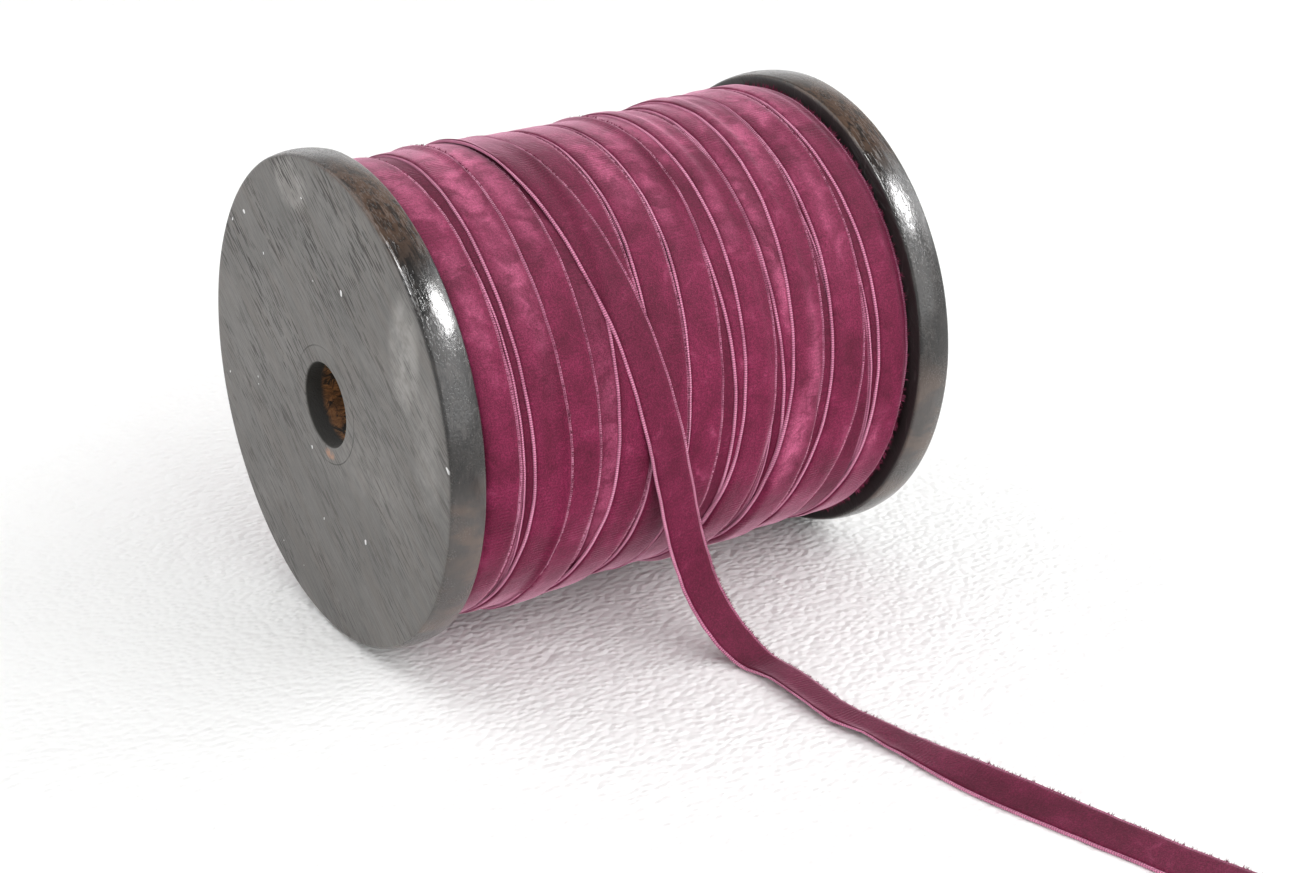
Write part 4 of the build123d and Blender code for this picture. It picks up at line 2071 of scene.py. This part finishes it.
@dataclass(frozen=True)
class Studio:
    """Lamps, table and the light of the white room round them.

    Attributes:
        lamps: The lamps.
        horizon: Strength of the room's light near the horizon and from below it.
        overhead: Its strength from above.
    """

    lamps: tuple[SoftBox, ...] = (
        SoftBox("back_left_lamp", (-0.42, 0.50, 0.90), 1.2, 0.9, 4.5),
        SoftBox("front_fill", (0.28, -0.83, 0.42), 1.3, 1.2, 10.5),
        SoftBox("side_fill", (0.85, -0.25, 0.55), 1.2, 0.6, 4.5),
        SoftBox("highlight_lamp", (0.50, -0.51, 0.71), 0.9, 0.27, 13.0, True),
        SoftBox("edge_lamp", (-0.42, -0.25, 0.85), 0.9, 0.32, 9.0, True),
    )
    horizon: float = 1.50
    overhead: float = 0.42

    def build(self, sizes: SpoolSizes) -> None:
        """Put up the lamps, the room's light and the table.

        Args:
            sizes: The spool's sizes.
        """
        for lamp in self.lamps:
            lamp.build(sizes)
        world = bpy.data.worlds.new("room")
        bpy.context.scene.world = world
        world.use_nodes = True
        tree = world.node_tree
        background = tree.nodes["Background"]
        background.inputs["Color"].default_value = (1.0, 1.0, 1.0, 1.0)
        split = tree.nodes.new("ShaderNodeSeparateXYZ")
        tree.links.new(tree.nodes.new("ShaderNodeTexCoord").outputs["Generated"], split.inputs[0])
        fade = tree.nodes.new("ShaderNodeMapRange")
        fade.interpolation_type = "SMOOTHSTEP"
        tree.links.new(split.outputs["Z"], fade.inputs["Value"])
        spans = {"From Min": 0.1, "From Max": 0.9, "To Min": self.horizon, "To Max": self.overhead}
        for name, value in spans.items():
            fade.inputs[name].default_value = value
        tree.links.new(fade.outputs["Result"], background.inputs["Strength"])
        Table().build()
        bpy.context.scene.view_settings.view_transform = "Standard"


# ---------------------------------------------------------------- assembly
def join_pieces(name: str, pieces: list[Piece]) -> Piece:
    """Join several pieces into the first and give it a name.

    Args:
        name: The joined piece's name.
        pieces: The pieces.

    Returns:
        The joined piece.
    """
    bpy.ops.object.select_all(action="DESELECT")
    for piece in pieces:
        piece.select_set(True)
    bpy.context.view_layer.objects.active = pieces[0]
    bpy.ops.object.join()
    pieces[0].name = name
    return pieces[0]


def take_place(piece: Piece, node: str) -> None:
    """Let a piece ride on the spool and stand for its CAD node.

    Args:
        piece: The piece.
        node: The CAD node.
    """
    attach(piece, "root")
    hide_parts(node)
    LOG.info("made %s, %d faces, for %s", piece.name, len(piece.data.polygons), node)


def dress(node: str, material: bpy.types.Material) -> None:
    """Give a CAD node that stays its material.

    Args:
        node: The CAD node.
        material: Its material.
    """
    data = bpy.data.objects[node].data
    data.materials.clear()
    data.materials.append(material)
    LOG.info("dressed %s", node)


def main() -> None:
    """Build the scene in order and log each piece."""
    logging.basicConfig(level=logging.INFO, format="%(message)s")
    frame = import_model()
    sizes = SpoolSizes.from_frame(frame)
    section = RibbonSection()

    StudioView().build(sizes)
    velvet = Velvet().make("velvet")
    # A darker copy of the velvet with less sheen: painted shade on the under layer and the drum,
    # which show in the gaps.
    shaded_velvet = Velvet(sheen=0.45).make("velvet_deep", deepen=0.45)
    fresh_velvet = Velvet().make("velvet_last_turn", deepen=0.35)

    tail = FreeEnd(name="ribbon_tail_strip").build(section, fresh_velvet)
    take_place(tail, "ribbon_tail")

    stained = StainedWood().make("stained_wood", sizes)
    for name, side, seed in (("flange_left", -1, 1), ("flange_right", 1, 4)):
        flange = Flange(name + "_turned", side, seed).build(sizes, stained)
        take_place(flange, name)
    dress("core_barrel", stained)
    dress("end_tack", TackSteel().make("tack_steel"))

    surface = WindingSurface(sizes, section)
    under = UnderLayer().build(surface, shaded_velvet)
    drum = Drum().build(sizes, shaded_velvet)
    take_place(join_pieces("ribbon_pack_windings", [drum, *under]), "ribbon_pack")
    for turn in OUTER_TURNS:
        piece = turn.build(surface, velvet)
        piece.name = turn.name + "_velvet"
        take_place(piece, turn.name)
    exit_place = Vector(FreeEnd.route[0])
    last = LastTurn(name="last_turn_velvet").build(surface, exit_place, fresh_velvet)
    take_place(last, "last_turn")

    Studio().build(sizes)


if __name__ == "__main__":
    main()
